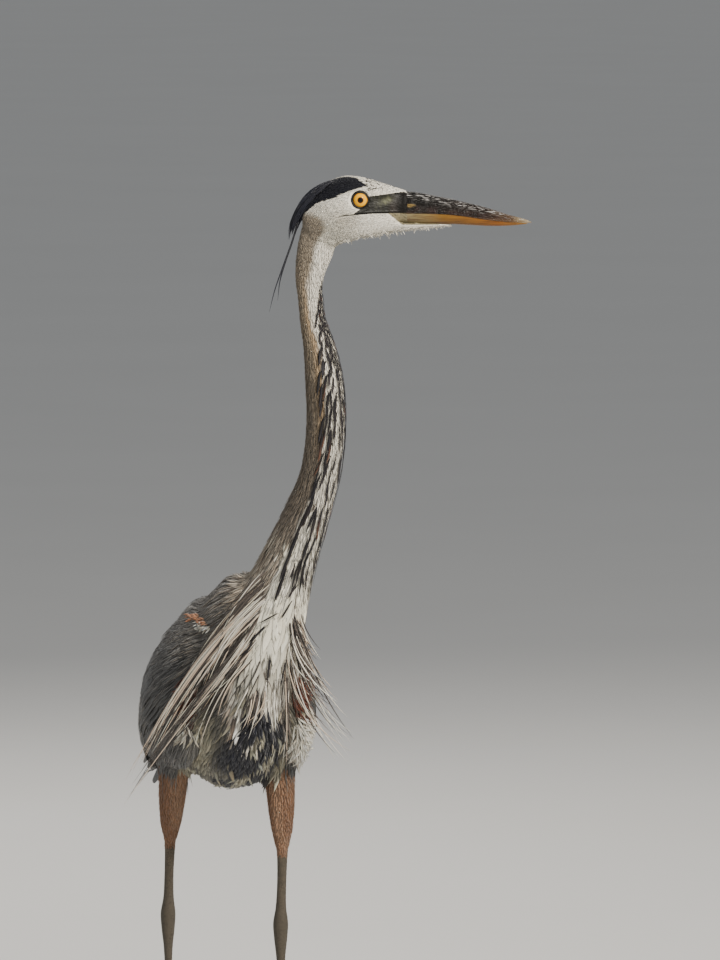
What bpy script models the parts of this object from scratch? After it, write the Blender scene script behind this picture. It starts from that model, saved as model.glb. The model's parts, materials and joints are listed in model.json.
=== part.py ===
"""A great blue heron at life size, standing alert, as one still museum model.

Row frame, in metres: +Z up, the floor at Z = 0, +X the way the bill points, and -Y the side that the
breast faces. The body is turned a little from -Y towards +X, and the neck turns the rest of the way.
The bird is modelled whole and parted with thin cuts, so its pieces meet with a gap of GAP.
"""

import math

import bmesh
import bpy
import numpy as np
from mathutils import Vector
from mathutils.bvhtree import BVHTree

# Driving dimensions, in metres and degrees.
GAP = 0.0003  # between two pieces that meet
BODY_TURN = 12.0  # the trunk's turn from -Y towards +X
HEAD_Y = -0.117  # the plane of the head and bill
EYE_AT = (0.1388, 0.9612)  # X and Z of both eyes
EYE_RADIUS = 0.0086
EYE_OUT = 0.0140  # from the head's middle plane to an eye's centre
FOOT_TOP = 0.0170  # where the tarsus stands on the foot
SHANK_TOP = 0.2720  # where the feathered thigh ends
NECK_CUTS = (0.36, 0.68)  # shares of the neck's length where its three lengths part

# Trunk, from rump to breast: forward, centre height, half width, rise above, drop below.
TRUNK = [
    (-0.166, 0.372, 0.010, 0.012, 0.010),
    (-0.156, 0.372, 0.024, 0.030, 0.016),
    (-0.130, 0.376, 0.036, 0.062, 0.026),
    (-0.100, 0.384, 0.045, 0.095, 0.036),
    (-0.060, 0.400, 0.052, 0.123, 0.054),
    (-0.020, 0.414, 0.057, 0.131, 0.074),
    (0.020, 0.421, 0.059, 0.134, 0.083),
    (0.050, 0.424, 0.058, 0.143, 0.082),
    (0.080, 0.430, 0.053, 0.145, 0.078),
    (0.105, 0.437, 0.044, 0.124, 0.066),
    (0.125, 0.443, 0.030, 0.076, 0.046),
    (0.135, 0.446, 0.012, 0.024, 0.020),
]
# Left wing, from bend to tip: forward, lower edge (out, height), upper edge (out, height), widest, thickness.
WING = [
    (0.0990, 0.0515, 0.399, 0.0480, 0.455, 0.0570, 0.024),
    (0.0900, 0.053, 0.376, 0.044, 0.492, 0.0700, 0.040),
    (0.0700, 0.053, 0.364, 0.037, 0.520, 0.0805, 0.046),
    (0.0400, 0.054, 0.359, 0.028, 0.538, 0.0865, 0.048),
    (0.0000, 0.056, 0.355, 0.019, 0.543, 0.0905, 0.052),
    (-0.050, 0.055, 0.352, 0.010, 0.528, 0.0865, 0.052),
    (-0.100, 0.050, 0.349, 0.003, 0.497, 0.0775, 0.046),
    (-0.150, 0.044, 0.346, 0.0008, 0.461, 0.0655, 0.032),
    (-0.200, 0.037, 0.343, 0.0008, 0.424, 0.0530, 0.021),
    (-0.250, 0.030, 0.340, 0.0008, 0.388, 0.0420, 0.015),
    (-0.290, 0.024, 0.338, 0.0008, 0.360, 0.0325, 0.011),
    (-0.316, 0.018, 0.337, 0.0040, 0.347, 0.0240, 0.007),
]
# Tail: forward, height of its middle, half width, half thickness.
TAIL = [
    (-0.118, 0.366, 0.018, 0.0090),
    (-0.160, 0.354, 0.024, 0.0080),
    (-0.200, 0.344, 0.029, 0.0060),
    (-0.250, 0.333, 0.034, 0.0040),
    (-0.305, 0.322, 0.037, 0.0022),
]
# Neck, from inside the head down to the bib on the breast: x, y, z, half across, half throat to nape,
# and the way its throat faces, in degrees from -Y towards +X.
NECK = [
    (0.1130, -0.1170, 0.9400, 0.0120, 0.0140, 86),
    (0.1000, -0.1170, 0.9230, 0.0150, 0.0175, 84),
    (0.0920, -0.1170, 0.9060, 0.0160, 0.0190, 78),
    (0.0875, -0.1180, 0.8880, 0.0145, 0.0165, 70),
    (0.0862, -0.1195, 0.8720, 0.0128, 0.0145, 62),
    (0.0876, -0.1220, 0.8570, 0.0121, 0.0138, 57),
    (0.0895, -0.1260, 0.8369, 0.0124, 0.0142, 53),
    (0.0945, -0.1290, 0.8165, 0.0144, 0.0166, 50),
    (0.0986, -0.1330, 0.7961, 0.0166, 0.0192, 48),
    (0.1012, -0.1360, 0.7757, 0.0183, 0.0211, 47),
    (0.1032, -0.1370, 0.7448, 0.0187, 0.0215, 46),
    (0.1022, -0.1360, 0.7137, 0.0188, 0.0216, 45),
    (0.0955, -0.1290, 0.6717, 0.0194, 0.0224, 43),
    (0.0808, -0.1190, 0.6294, 0.0228, 0.0262, 41),
    (0.0650, -0.1060, 0.5870, 0.0278, 0.0318, 37),
    (0.0505, -0.0960, 0.5450, 0.0345, 0.0390, 32),
    (0.0390, -0.0905, 0.5050, 0.0405, 0.0430, 26),
    (0.0300, -0.0935, 0.4600, 0.0400, 0.0420, 18),
    (0.0240, -0.1020, 0.4200, 0.0280, 0.0330, 14),
    (0.0210, -0.1100, 0.3960, 0.0120, 0.0200, 12),
]
# Head, from nape to bill: x, crown height, throat height, half width, pinch of the sides in front of the eye.
HEAD = [
    (0.0785, 0.9520, 0.9330, 0.0060, 0.00),
    (0.0830, 0.9590, 0.9228, 0.0125, 0.00),
    (0.0902, 0.9674, 0.9156, 0.0165, 0.00),
    (0.0995, 0.9762, 0.9125, 0.0195, 0.00),
    (0.1119, 0.9835, 0.9125, 0.0213, 0.00),
    (0.1253, 0.9868, 0.9166, 0.0218, 0.04),
    (0.1387, 0.9855, 0.9202, 0.0208, 0.10),
    (0.1510, 0.9827, 0.9228, 0.0184, 0.14),
    (0.1634, 0.9790, 0.9249, 0.0156, 0.14),
    (0.1747, 0.9751, 0.9270, 0.0134, 0.10),
    (0.1840, 0.9716, 0.9290, 0.0120, 0.04),
    (0.1880, 0.9695, 0.9302, 0.0106, 0.00),
]
# Bill, from its root in the head to its tip: x, ridge height, mouth line, keel height, half width.
BILL = [
    (0.1760, 0.9690, 0.9468, 0.9376, 0.0088),
    (0.1840, 0.9694, 0.9468, 0.9367, 0.0096),
    (0.1933, 0.9688, 0.9468, 0.9362, 0.0094),
    (0.2170, 0.9644, 0.9464, 0.9356, 0.0082),
    (0.2355, 0.9607, 0.9451, 0.9352, 0.0071),
    (0.2530, 0.9565, 0.9427, 0.9343, 0.0059),
    (0.2716, 0.9515, 0.9397, 0.9334, 0.0046),
    (0.2900, 0.9455, 0.9379, 0.9336, 0.0033),
    (0.3036, 0.9418, 0.9371, 0.9347, 0.0022),
    (0.3110, 0.9396, 0.9368, 0.9357, 0.0014),
]
# The upper bill's tip, past the lower one's: x, ridge height, mouth line, half width.
BILL_TIP = (0.3155, 0.9378, 0.9368, 0.0006)
# The feathered wedge under the lower bill: x, top, bottom, half width.
CHIN = [
    (0.176, 0.9420, 0.9280, 0.0090),
    (0.198, 0.9385, 0.9302, 0.0072),
    (0.218, 0.9372, 0.9322, 0.0048),
    (0.233, 0.9358, 0.9340, 0.0018),
]
# Crest, from the crown down behind the nape: x, z, half width, half thickness.
CREST = [
    (0.1080, 0.9765, 0.0125, 0.0050),
    (0.0980, 0.9700, 0.0145, 0.0080),
    (0.0880, 0.9615, 0.0130, 0.0085),
    (0.0790, 0.9505, 0.0100, 0.0075),
    (0.0725, 0.9385, 0.0070, 0.0058),
    (0.0690, 0.9275, 0.0042, 0.0040),
    (0.0668, 0.9180, 0.0018, 0.0018),
]
CREST_PLUMES = [  # two long thin feathers: x, y from the head's plane, z
    [
        (0.0745, 0.0015, 0.9420),
        (0.0680, 0.0020, 0.9210),
        (0.0622, 0.0030, 0.8990),
        (0.0560, 0.0040, 0.8770),
        (0.0535, 0.0050, 0.8560),
    ],
    [
        (0.0745, -0.0015, 0.9420),
        (0.0675, -0.0030, 0.9190),
        (0.0600, -0.0060, 0.8950),
        (0.0510, -0.0085, 0.8690),
        (0.0450, -0.0100, 0.8450),
    ],
]
CREST_PLUME_RADIUS = 0.0008
# Long feathers of the lower neck: root (x, z), tip (x, z), bow to the side, half width.
PLUMES = [
    ((0.040, 0.560), (-0.0600, 0.4220), 0.006, 0.0042),
    ((0.046, 0.560), (-0.0935, 0.3660), 0.012, 0.0042),
    ((0.052, 0.535), (-0.0950, 0.3590), 0.004, 0.0044),
    ((0.040, 0.530), (-0.0640, 0.3960), -0.004, 0.0044),
    ((0.036, 0.510), (-0.0300, 0.3880), 0.006, 0.0048),
    ((0.034, 0.500), (-0.0160, 0.4080), 0.004, 0.0050),
    ((0.030, 0.480), (-0.0020, 0.4150), 0.003, 0.0054),
    ((0.034, 0.460), (0.0190, 0.4110), -0.002, 0.0058),
    ((0.048, 0.470), (0.0420, 0.4420), 0.002, 0.0060),
    ((0.056, 0.490), (0.0570, 0.3870), 0.002, 0.0040),
    ((0.062, 0.480), (0.0650, 0.3640), 0.002, 0.0036),
    ((0.074, 0.530), (0.0965, 0.4830), 0.003, 0.0038),
    ((0.070, 0.530), (0.1130, 0.4390), 0.008, 0.0040),
    ((0.072, 0.510), (0.1310, 0.3970), 0.010, 0.0044),
    ((0.068, 0.500), (0.1240, 0.3740), 0.012, 0.0044),
]
PLUME_THICKNESS = 0.0014
PLUME_CLEAR = 0.0032  # between the feathers they hang over and their own middle
# Legs, in the body's own directions: forward, out to the left, height, half width, half depth.
THIGHS = {
    "right": [
        (0.000, -0.046, 0.445, 0.0120, 0.0180),
        (-0.012, -0.049, 0.405, 0.0180, 0.0250),
        (-0.022, -0.0525, 0.365, 0.0184, 0.0235),
        (-0.030, -0.0540, 0.320, 0.0163, 0.0190),
        (-0.036, -0.0545, 0.292, 0.0130, 0.0142),
        (-0.040, -0.0545, SHANK_TOP, 0.0078, 0.0084),
    ],
    "left": [
        (0.022, 0.043, 0.445, 0.0120, 0.0180),
        (0.033, 0.0445, 0.405, 0.0180, 0.0250),
        (0.042, 0.0460, 0.365, 0.0184, 0.0235),
        (0.050, 0.0470, 0.320, 0.0163, 0.0190),
        (0.053, 0.0472, 0.292, 0.0130, 0.0142),
        (0.054, 0.0472, SHANK_TOP, 0.0078, 0.0084),
    ],
}
ANKLES = {"right": (-0.054, -0.054), "left": (0.046, 0.047)}  # forward, out
FEET = {"right": (-0.046, -0.054), "left": (0.058, 0.047)}
ANKLE_HEIGHT = 0.197
# Toes: name, turn outwards from straight ahead, length, half width at the root.
TOES = [
    ("middle", 0, 0.094, 0.0056),
    ("inner", -32, 0.072, 0.0052),
    ("outer", 30, 0.082, 0.0052),
    ("hind", 172, 0.048, 0.0054),
]
CLAW_LENGTHS = {"middle": 0.014, "inner": 0.013, "outer": 0.012, "hind": 0.020}

COLOURS = {  # colour, roughness
    "grey": ((0.17, 0.18, 0.20), 0.7),
    "taupe": ((0.30, 0.25, 0.21), 0.75),
    "white": ((0.75, 0.73, 0.68), 0.7),
    "black": ((0.02, 0.02, 0.03), 0.6),
    "rust": ((0.30, 0.15, 0.09), 0.8),
    "horn": ((0.06, 0.05, 0.05), 0.35),
    "amber": ((0.65, 0.36, 0.06), 0.35),
    "iris": ((0.90, 0.60, 0.05), 0.1),
    "scale": ((0.10, 0.09, 0.08), 0.55),
}


# ---- helpers -------------------------------------------------------------------------------------


def body_point(forward, out, height):
    """A point given in the trunk's own directions: ahead, to its left, and up."""
    turn = math.radians(BODY_TURN)
    x = math.sin(turn) * forward + math.cos(turn) * out
    y = -math.cos(turn) * forward + math.sin(turn) * out
    return np.array([x, y, height])


FORWARD = body_point(1, 0, 0)
LEFT = body_point(0, 1, 0)
UP = np.array([0.0, 0.0, 1.0])


class Line:
    """A smooth curve through rows of numbers, read at any share of its length."""

    def __init__(self, rows, spans=3):
        self.rows = np.array(rows, float)
        steps = np.linalg.norm(np.diff(self.rows[:, :spans], axis=0), axis=1)
        self.along = np.concatenate([[0.0], np.cumsum(steps)])
        self.slopes = np.gradient(self.rows, self.along, axis=0)
        self.length = self.along[-1]

    def at(self, share):
        s = min(max(share, 0.0), 1.0) * self.length
        i = int(np.clip(np.searchsorted(self.along, s, side="right") - 1, 0, len(self.along) - 2))
        h = self.along[i + 1] - self.along[i]
        t = (s - self.along[i]) / h
        a = 2 * t**3 - 3 * t**2 + 1
        b = t**3 - 2 * t**2 + t
        c = 3 * t**2 - 2 * t**3
        d = t**3 - t**2
        return a * self.rows[i] + b * h * self.slopes[i] + c * self.rows[i + 1] + d * h * self.slopes[i + 1]

    def tangent(self, share, spans=3):
        step = 0.01
        ahead = self.at(min(share + step, 1.0))[:spans]
        behind = self.at(max(share - step, 0.0))[:spans]
        return unit(ahead - behind)


def unit(v):
    return v / np.linalg.norm(v)


def oval(centre, side, up, half, rise, drop, count=20, square=2.0, start=0.0):
    """A closed ring: half wide, and with its own height above and below the centre."""
    ring = []
    for k in range(count):
        a = start + 2 * math.pi * k / count
        c, s = math.cos(a), math.sin(a)
        across = half * math.copysign(abs(c) ** (2 / square), c)
        high = (rise if s > 0 else drop) * math.copysign(abs(s) ** (2 / square), s)
        ring.append(centre + across * side + high * up)
    return ring


def solid(name, rings, colour=None, grow=0.0):
    """One closed mesh through rings of as many points each. One with no colour only cuts or joins."""
    mesh = bmesh.new()
    loops = [[mesh.verts.new(Vector(p)) for p in ring] for ring in rings]
    count = len(loops[0])
    for low, high in zip(loops, loops[1:]):
        for k in range(count):
            j = (k + 1) % count
            mesh.faces.new((low[k], low[j], high[j], high[k]))
    mesh.faces.new(loops[0])
    mesh.faces.new(loops[-1])
    return link(name, mesh, colour, grow)


def link(name, mesh, colour, grow):
    """Turns a mesh outwards, swells it and puts it in the scene. A cutter has the facets of its piece."""
    bmesh.ops.recalc_face_normals(mesh, faces=mesh.faces)
    bmesh.ops.triangulate(mesh, faces=mesh.faces, quad_method="FIXED")
    mesh.normal_update()
    if grow:
        moves = [v.normal * grow * v.calc_shell_factor() for v in mesh.verts]
        for v, move in zip(mesh.verts, moves):
            v.co += move
    data = bpy.data.meshes.new(name)
    mesh.to_mesh(data)
    mesh.free()
    data.shade_smooth()
    data.set_sharp_from_angle(angle=math.radians(50))
    thing = bpy.data.objects.new(name, data)
    bpy.context.scene.collection.objects.link(thing)
    if colour:
        data.materials.append(finish(colour))
    else:
        thing.hide_render = True
        thing.display_type = "WIRE"
    return thing


def finish(colour):
    """The named colour as a material."""
    found = bpy.data.materials.get(colour)
    if found:
        return found
    rgb, rough = COLOURS[colour]
    made = bpy.data.materials.new(colour)
    made.use_nodes = True
    shader = made.node_tree.nodes["Principled BSDF"]
    shader.inputs["Base Color"].default_value = (*rgb, 1)
    shader.inputs["Roughness"].default_value = rough
    return made


def combine(target, other, operation):
    step = target.modifiers.new(f"{operation.lower()}_{other.name}", "BOOLEAN")
    step.operation = operation
    step.object = other
    step.solver = "EXACT"


# ---- trunk, wings and tail -----------------------------------------------------------------------


def trunk(name, colour=None, grow=0.0):
    line = Line(TRUNK, spans=2)
    rings = []
    for share in np.linspace(0, 1, 18):
        forward, height, half, rise, drop = line.at(share)
        centre = body_point(forward, 0, height)
        rings.append(oval(centre, LEFT, UP, half, rise, drop, count=24, square=2.15))
    return solid(name, rings, colour, grow)


def wing_ring(row, side):
    """The wing's section: a bulging outer face from its lower edge to its upper one, and back inside."""
    forward, low_out, low, high_out, high, widest, thick = row
    bulge = (widest - 0.125 * (low_out + high_out)) / 0.75
    ring = []
    for t in np.linspace(0, 1, 11):
        weights = ((1 - t) ** 3, 3 * t * (1 - t) ** 2, 3 * t * t * (1 - t), t**3)
        out = weights[0] * low_out + (weights[1] + weights[2]) * bulge + weights[3] * high_out
        height = weights[0] * low + weights[1] * (low + 0.02 * (high - low))
        height += weights[2] * (low + 0.76 * (high - low)) + weights[3] * high
        ring.append((out, height))
    for t in np.linspace(1, 0, 6)[1:-1]:
        out = low_out + (high_out - low_out) * t
        inward = (widest - thick) - 0.5 * (low_out + high_out)
        height = low + (high - low) * t
        ring.append((max(out + inward * 4 * t * (1 - t), 0.0008), height))
    return [body_point(forward, side * out, height) for out, height in ring]


def wing(name, side, colour=None, grow=0.0):
    line = Line(WING, spans=3)
    rings = [wing_ring(line.at(share), side) for share in np.linspace(0, 1, 16)]
    return solid(name, rings, colour, grow)


def tail(name, colour=None, grow=0.0):
    line = Line(TAIL, spans=2)
    rings = []
    for share in np.linspace(0, 1, 7):
        forward, height, half, thick = line.at(share)
        centre = body_point(forward, 0, height)
        rings.append(oval(centre, LEFT, UP, half, thick, thick, count=12, square=3.0))
    return solid(name, rings, colour, grow)


# ---- neck and its long feathers ------------------------------------------------------------------


def neck_length(name, start, end, count, colour=None, grow=0.0):
    """A length of the neck, between two shares of its whole length."""
    line = Line(NECK)
    rings = []
    for share in np.linspace(start, end, count):
        row = line.at(share)
        run = line.tangent(share)
        facing = math.radians(row[5])
        throat = np.array([math.sin(facing), -math.cos(facing), 0.0])
        throat = unit(throat - run * (throat @ run))
        across = np.cross(run, throat)
        rings.append(oval(row[:3], across, throat, row[3], row[4], row[4], count=16))
    return solid(name, rings, colour, grow)


def taut(along, depths):
    """The depths of a thread pulled tight in front of a surface: the surface's lower hull."""
    hull = []
    for point in zip(along, depths):
        while len(hull) > 1:
            (a, p), (b, q) = hull[-2:]
            if (q - p) * (point[0] - a) < (point[1] - p) * (b - a):
                break
            hull.pop()
        hull.append(point)
    return np.interp(along, *np.array(hull).T)


def plume_path(root, tip, bow, surface, count=7):
    """Points from root to tip that lie just in front of the body, and hang free beyond its outline."""
    root, tip = np.array(root), np.array(tip)
    side = unit(np.array([tip[1] - root[1], root[0] - tip[0]]))
    shares = np.linspace(0, 1, 29)
    flat = [root + (tip - root) * t + side * bow * 4 * t * (1 - t) for t in shares]
    depths = []
    for x, z in flat:
        hits = [surface.ray_cast(Vector((x + dx, -1, z)), Vector((0, 1, 0)))[0] for dx in (-0.005, 0, 0.005)]
        depths.append(min([h.y for h in hits if h] or [math.inf]))
    free = min(depths) + 0.012
    depths = taut(shares, [min(y, free + 0.02) if math.isfinite(y) else free for y in depths])
    depths = depths + np.interp(shares, [0, 0.16, 0.26, 1], [0.005, 0.0, -PLUME_CLEAR, -PLUME_CLEAR])
    xs, zs = np.array(flat).T
    places = np.linspace(0, 1, count)
    return list(np.column_stack([np.interp(places, shares, column) for column in (xs, depths, zs)]))


def plume(name, path, half):
    """A narrow pointed feather with a lens-shaped section."""
    count = len(path)
    rings = []
    for k, p in enumerate(path):
        run = unit(path[min(k + 1, count - 1)] - path[max(k - 1, 0)])
        front = unit(np.array([0, -1.0, 0]) + run * run[1])
        across = np.cross(run, front)
        t = k / (count - 1)
        wide = max(half * math.sin(math.pi * (0.22 + 0.74 * t)) ** 0.8, 0.0006)
        thick = PLUME_THICKNESS * (1 - 0.5 * t) / 2
        rings.append([p + across * wide, p + front * thick, p - across * wide, p - front * thick])
    return solid(name, rings)


# ---- head and bill -------------------------------------------------------------------------------


def head_ring(row):
    x, crown, throat, half, pinch = row
    middle = 0.42 * crown + 0.58 * throat
    centre = np.array([x, HEAD_Y, middle])
    side = np.array([0, 1.0, 0])
    ring = oval(centre, side, UP, half, crown - middle, middle - throat, count=18, square=2.2)
    groove = 0.20  # how far above the middle the groove between eye and bill runs, in radians
    for k, p in enumerate(ring):
        a = 2 * math.pi * k / len(ring)
        near = min(abs(a - groove), abs(a - math.pi + groove), abs(a - 2 * math.pi - groove))
        squeeze = 1 - pinch * math.exp(-((near / 0.35) ** 2))
        p[1] = HEAD_Y + (p[1] - HEAD_Y) * squeeze
    return ring


def head(name, colour=None, grow=0.0):
    line = Line(HEAD, spans=3)
    rings = [head_ring(line.at(share)) for share in np.linspace(0, 1, 15)]
    return solid(name, rings, colour, grow)


def chin():
    rings = []
    for x, high, low, half in CHIN:
        centre = np.array([x, HEAD_Y, (high + low) / 2])
        tall = (high - low) / 2
        rings.append(oval(centre, np.array([0, 1.0, 0]), UP, half, tall, tall, count=12))
    return solid("chin", rings)


def bill_half(name, upper, colour=None, grow=0.0):
    """The upper or lower bill: round on its outer side and flat along the mouth line."""
    line = Line(BILL, spans=3)
    rings = []
    for share in np.linspace(0, 1, 11):
        x, ridge, mouth, keel, half = line.at(share)
        rise = ridge - mouth if upper else keel - mouth + GAP
        rings.append(bill_ring(np.array([x, HEAD_Y, mouth - (0 if upper else GAP)]), half, rise))
    if upper:
        x, ridge, mouth, half = BILL_TIP
        rings.append(bill_ring(np.array([x, HEAD_Y, mouth]), half, ridge - mouth))
    return solid(name, rings, colour, grow)


def bill_ring(centre, half, rise):
    """Points round half an oval that closes along the flat mouth line."""
    side = np.array([0, 1.0, 0])
    angles = np.linspace(0, math.pi, 9)
    return [centre + side * half * math.cos(a) + UP * rise * abs(math.sin(a)) ** 0.85 for a in angles]


def crest_body():
    line = Line([(x, 0, z, half, thick) for x, z, half, thick in CREST])
    rings = []
    for share in np.linspace(0, 1, 9):
        x, _, z, half, thick = line.at(share)
        run = line.tangent(share)
        side = np.array([0, 1.0, 0])
        rings.append(oval(np.array([x, HEAD_Y, z]), side, np.cross(run, side), half, thick, thick, count=12))
    return solid("crest", rings, "black")


def crest_plume(name, rows):
    line = Line([(x, HEAD_Y + y, z) for x, y, z in rows])
    rings = []
    for share in np.linspace(0, 1, 7):
        run = line.tangent(share)
        side = unit(np.cross(run, np.array([0, 1.0, 0])))
        radius = CREST_PLUME_RADIUS * (1 - 0.5 * share)
        rings.append(oval(line.at(share), side, np.cross(run, side), radius, radius, radius, count=5))
    return solid(name, rings)


def ball(name, centre, radius, colour=None, grow=0.0):
    mesh = bmesh.new()
    bmesh.ops.create_uvsphere(mesh, u_segments=14, v_segments=9, radius=radius)
    for v in mesh.verts:
        v.co = Vector((v.co.x, -v.co.z, v.co.y)) + Vector(centre)
    return link(name, mesh, colour, grow)


# ---- legs and feet -------------------------------------------------------------------------------


def upright(name, rows, colour=None, count=16, steps=8):
    """A limb through level rings: forward, out, height, half width, half depth."""
    line = Line([(*body_point(f, o, h), wide, deep) for f, o, h, wide, deep in rows])
    rings = []
    for share in np.linspace(0, 1, steps):
        row = line.at(share)
        rings.append(oval(row[:3], LEFT, FORWARD, row[3], row[4], row[4], count=count))
    return solid(name, rings, colour)


def shank_rows(side):
    """The bare lower thigh, down to and round the ankle joint."""
    thigh_f, thigh_o = THIGHS[side][-1][:2]
    ankle_f, ankle_o = ANKLES[side]
    top = SHANK_TOP - GAP
    return [
        (thigh_f, thigh_o, top, 0.0056, 0.0060),
        (0.6 * thigh_f + 0.4 * ankle_f, thigh_o, 0.240, 0.0050, 0.0056),
        (0.2 * thigh_f + 0.8 * ankle_f, ankle_o, 0.214, 0.0058, 0.0068),
        (ankle_f, ankle_o, ANKLE_HEIGHT, 0.0080, 0.0096),
        (ankle_f, ankle_o, ANKLE_HEIGHT - 0.014, 0.0072, 0.0082),
    ]


def tarsus_rows(side):
    ankle_f, ankle_o = ANKLES[side]
    foot_f, foot_o = FEET[side]
    top = ANKLE_HEIGHT - 0.014 - GAP
    return [
        (ankle_f, ankle_o, top, 0.0072, 0.0082),
        (0.95 * ankle_f + 0.05 * foot_f, ankle_o, 0.165, 0.0052, 0.0062),
        (0.5 * ankle_f + 0.5 * foot_f, foot_o, 0.095, 0.0044, 0.0054),
        (0.1 * ankle_f + 0.9 * foot_f, foot_o, 0.036, 0.0052, 0.0060),
        (foot_f, foot_o, FOOT_TOP + GAP, 0.0074, 0.0080),
    ]


def toe_frame(side, turn):
    """The way a toe points, and the way to its left. Turns go outwards on both feet."""
    outward = 1 if side == "left" else -1
    a = math.radians(turn) * outward
    ahead = FORWARD * math.cos(a) + LEFT * math.sin(a)
    return ahead, np.cross(UP, ahead)


def toe(name, side, turn, length, half):
    """A toe with pads: it swells at each joint, and reaches a little below the floor to be cut flat."""
    ahead, across = toe_frame(side, turn)
    start = body_point(*FEET[side], 0)
    rings = []
    for share in np.linspace(0, 1, 7):
        swell = 1 + 0.10 * math.cos(share * 6 * math.pi)
        size = half * (1 - 0.42 * share) * swell
        at = start + ahead * (0.003 + (length - 0.003) * share) + UP * size * 0.70
        rings.append(oval(at, across, UP, size, size, size, count=8))
    return solid(name, rings)


def claw(name, side, turn, length, reach, colour=None):
    """A curved, pointed claw that starts past the toe's end and comes down to the floor."""
    ahead, _ = toe_frame(side, turn)
    across = np.cross(UP, ahead)
    start = body_point(*FEET[side], 0) + ahead * (reach + GAP)
    rings = []
    for share in np.linspace(0, 1, 5):
        size = 0.0026 * (1 - share) ** 0.7 + 0.0003
        high = 0.0052 * (1 - share**1.6) + 0.0002
        at = start + ahead * length * share + UP * high
        drop = min(size, high)
        rings.append(oval(at, across, UP, size * 0.8, size, drop, count=6))
    return solid(name, rings, colour)


# ---- assembly ------------------------------------------------------------------------------------


def build_body():
    """Trunk, tail and wings. Each is cut back from the ones before it."""
    trunk("trunk", "white")
    trunk_cutter = trunk("cut_trunk", grow=GAP)
    tail_piece = tail("tail", "grey")
    combine(tail_piece, trunk_cutter, "DIFFERENCE")
    tail_cutter = tail("cut_tail", grow=GAP)
    cutters = [trunk_cutter, tail_cutter]
    for name, side in (("left", 1), ("right", -1)):
        piece = wing(f"wing_{name}", side, "grey")
        for cutter in cutters[:2]:
            combine(piece, cutter, "DIFFERENCE")
        cutters.append(wing(f"cut_wing_{name}", side, grow=GAP))
    return cutters


def build_neck(body_cutters):
    """The neck's three lengths, with the long feathers joined to the lowest."""
    line_length = Line(NECK).length
    shares = (0.0, *NECK_CUTS, 1.0)
    half_gap = 0.5 * GAP / line_length
    names = ("neck_upper", "neck_middle", "neck_lower")
    colours = ("taupe", "taupe", "white")
    pieces = []
    for name, colour, low, high, count in zip(names, colours, shares, shares[1:], (13, 10, 13)):
        start = low + (half_gap if low else 0)
        end = high - (half_gap if high < 1 else 0)
        pieces.append(neck_length(name, start, end, count, colour))
    upper, _, lower = pieces
    combine(upper, bpy.data.objects["cut_head"], "DIFFERENCE")
    bpy.context.view_layer.update()
    front = front_surface(["trunk", "wing_left", "wing_right", "neck_lower"])
    for k, (root, tip, bow, half) in enumerate(PLUMES):
        combine(lower, plume(f"plume_{k}", plume_path(root, tip, bow, front), half), "UNION")
    for cutter in body_cutters:
        combine(lower, cutter, "DIFFERENCE")


def front_surface(names):
    """The evaluated pieces as one tree to aim rays at."""
    graph = bpy.context.evaluated_depsgraph_get()
    points, faces = [], []
    for name in names:
        mesh = bpy.data.objects[name].evaluated_get(graph).to_mesh()
        offset = len(points)
        points += [v.co.copy() for v in mesh.vertices]
        faces += [[offset + i for i in p.vertices] for p in mesh.polygons]
    return BVHTree.FromPolygons(points, faces)


def build_head():
    """Head with chin, both halves of the bill, the eyes in their sockets, and the crest."""
    skull = head("head", "white")
    combine(skull, chin(), "UNION")
    head("cut_head", grow=GAP)
    bill_half("bill_upper", True, "horn")
    bill_half("bill_lower", False, "amber")
    combine(skull, bill_half("cut_bill_upper", True, grow=GAP), "DIFFERENCE")
    combine(skull, bill_half("cut_bill_lower", False, grow=GAP), "DIFFERENCE")
    for name, side in (("left", 1), ("right", -1)):
        centre = (EYE_AT[0], HEAD_Y + side * EYE_OUT, EYE_AT[1])
        ball(f"eye_{name}", centre, EYE_RADIUS, "iris")
        combine(skull, ball(f"socket_{name}", centre, EYE_RADIUS, grow=GAP), "DIFFERENCE")
    crest = crest_body()
    combine(crest, bpy.data.objects["cut_head"], "DIFFERENCE")
    combine(crest, neck_length("cut_neck_upper", 0.0, NECK_CUTS[0], 13, grow=GAP), "DIFFERENCE")
    for k, rows in enumerate(CREST_PLUMES):
        combine(crest, crest_plume(f"crest_plume_{k}", rows), "UNION")


def floor_slab():
    """The ground under the feet, which cuts their undersides flat."""
    square = [np.array([x, y, 0.0]) for x, y in ((-0.5, -0.5), (0.5, -0.5), (0.5, 0.5), (-0.5, 0.5))]
    return solid("floor_slab", [[p - UP * 0.05 for p in square], square])


def build_leg(side, body_cutters):
    thigh = upright(f"thigh_{side}", THIGHS[side], "rust", steps=8)
    for cutter in body_cutters:
        combine(thigh, cutter, "DIFFERENCE")
    upright(f"shank_{side}", shank_rows(side), "scale", count=10, steps=8)
    upright(f"tarsus_{side}", tarsus_rows(side), "scale", count=10, steps=8)
    build_foot(side)


def build_foot(side):
    """The pad under the tarsus with its four toes, and a claw beyond each toe."""
    f, o = FEET[side]
    pad = [(f, o, -0.004, 0.0080, 0.0090), (f, o, 0.007, 0.0092, 0.0102), (f, o, FOOT_TOP, 0.0074, 0.0080)]
    foot = upright(f"foot_{side}", pad, "scale", count=12, steps=4)
    for toe_name, turn, length, half in TOES:
        combine(foot, toe(f"toe_{toe_name}_{side}", side, turn, length, half), "UNION")
        claw(f"claw_{toe_name}_{side}", side, turn, CLAW_LENGTHS[toe_name], length, "horn")
    combine(foot, bpy.data.objects["floor_slab"], "DIFFERENCE")


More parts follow.
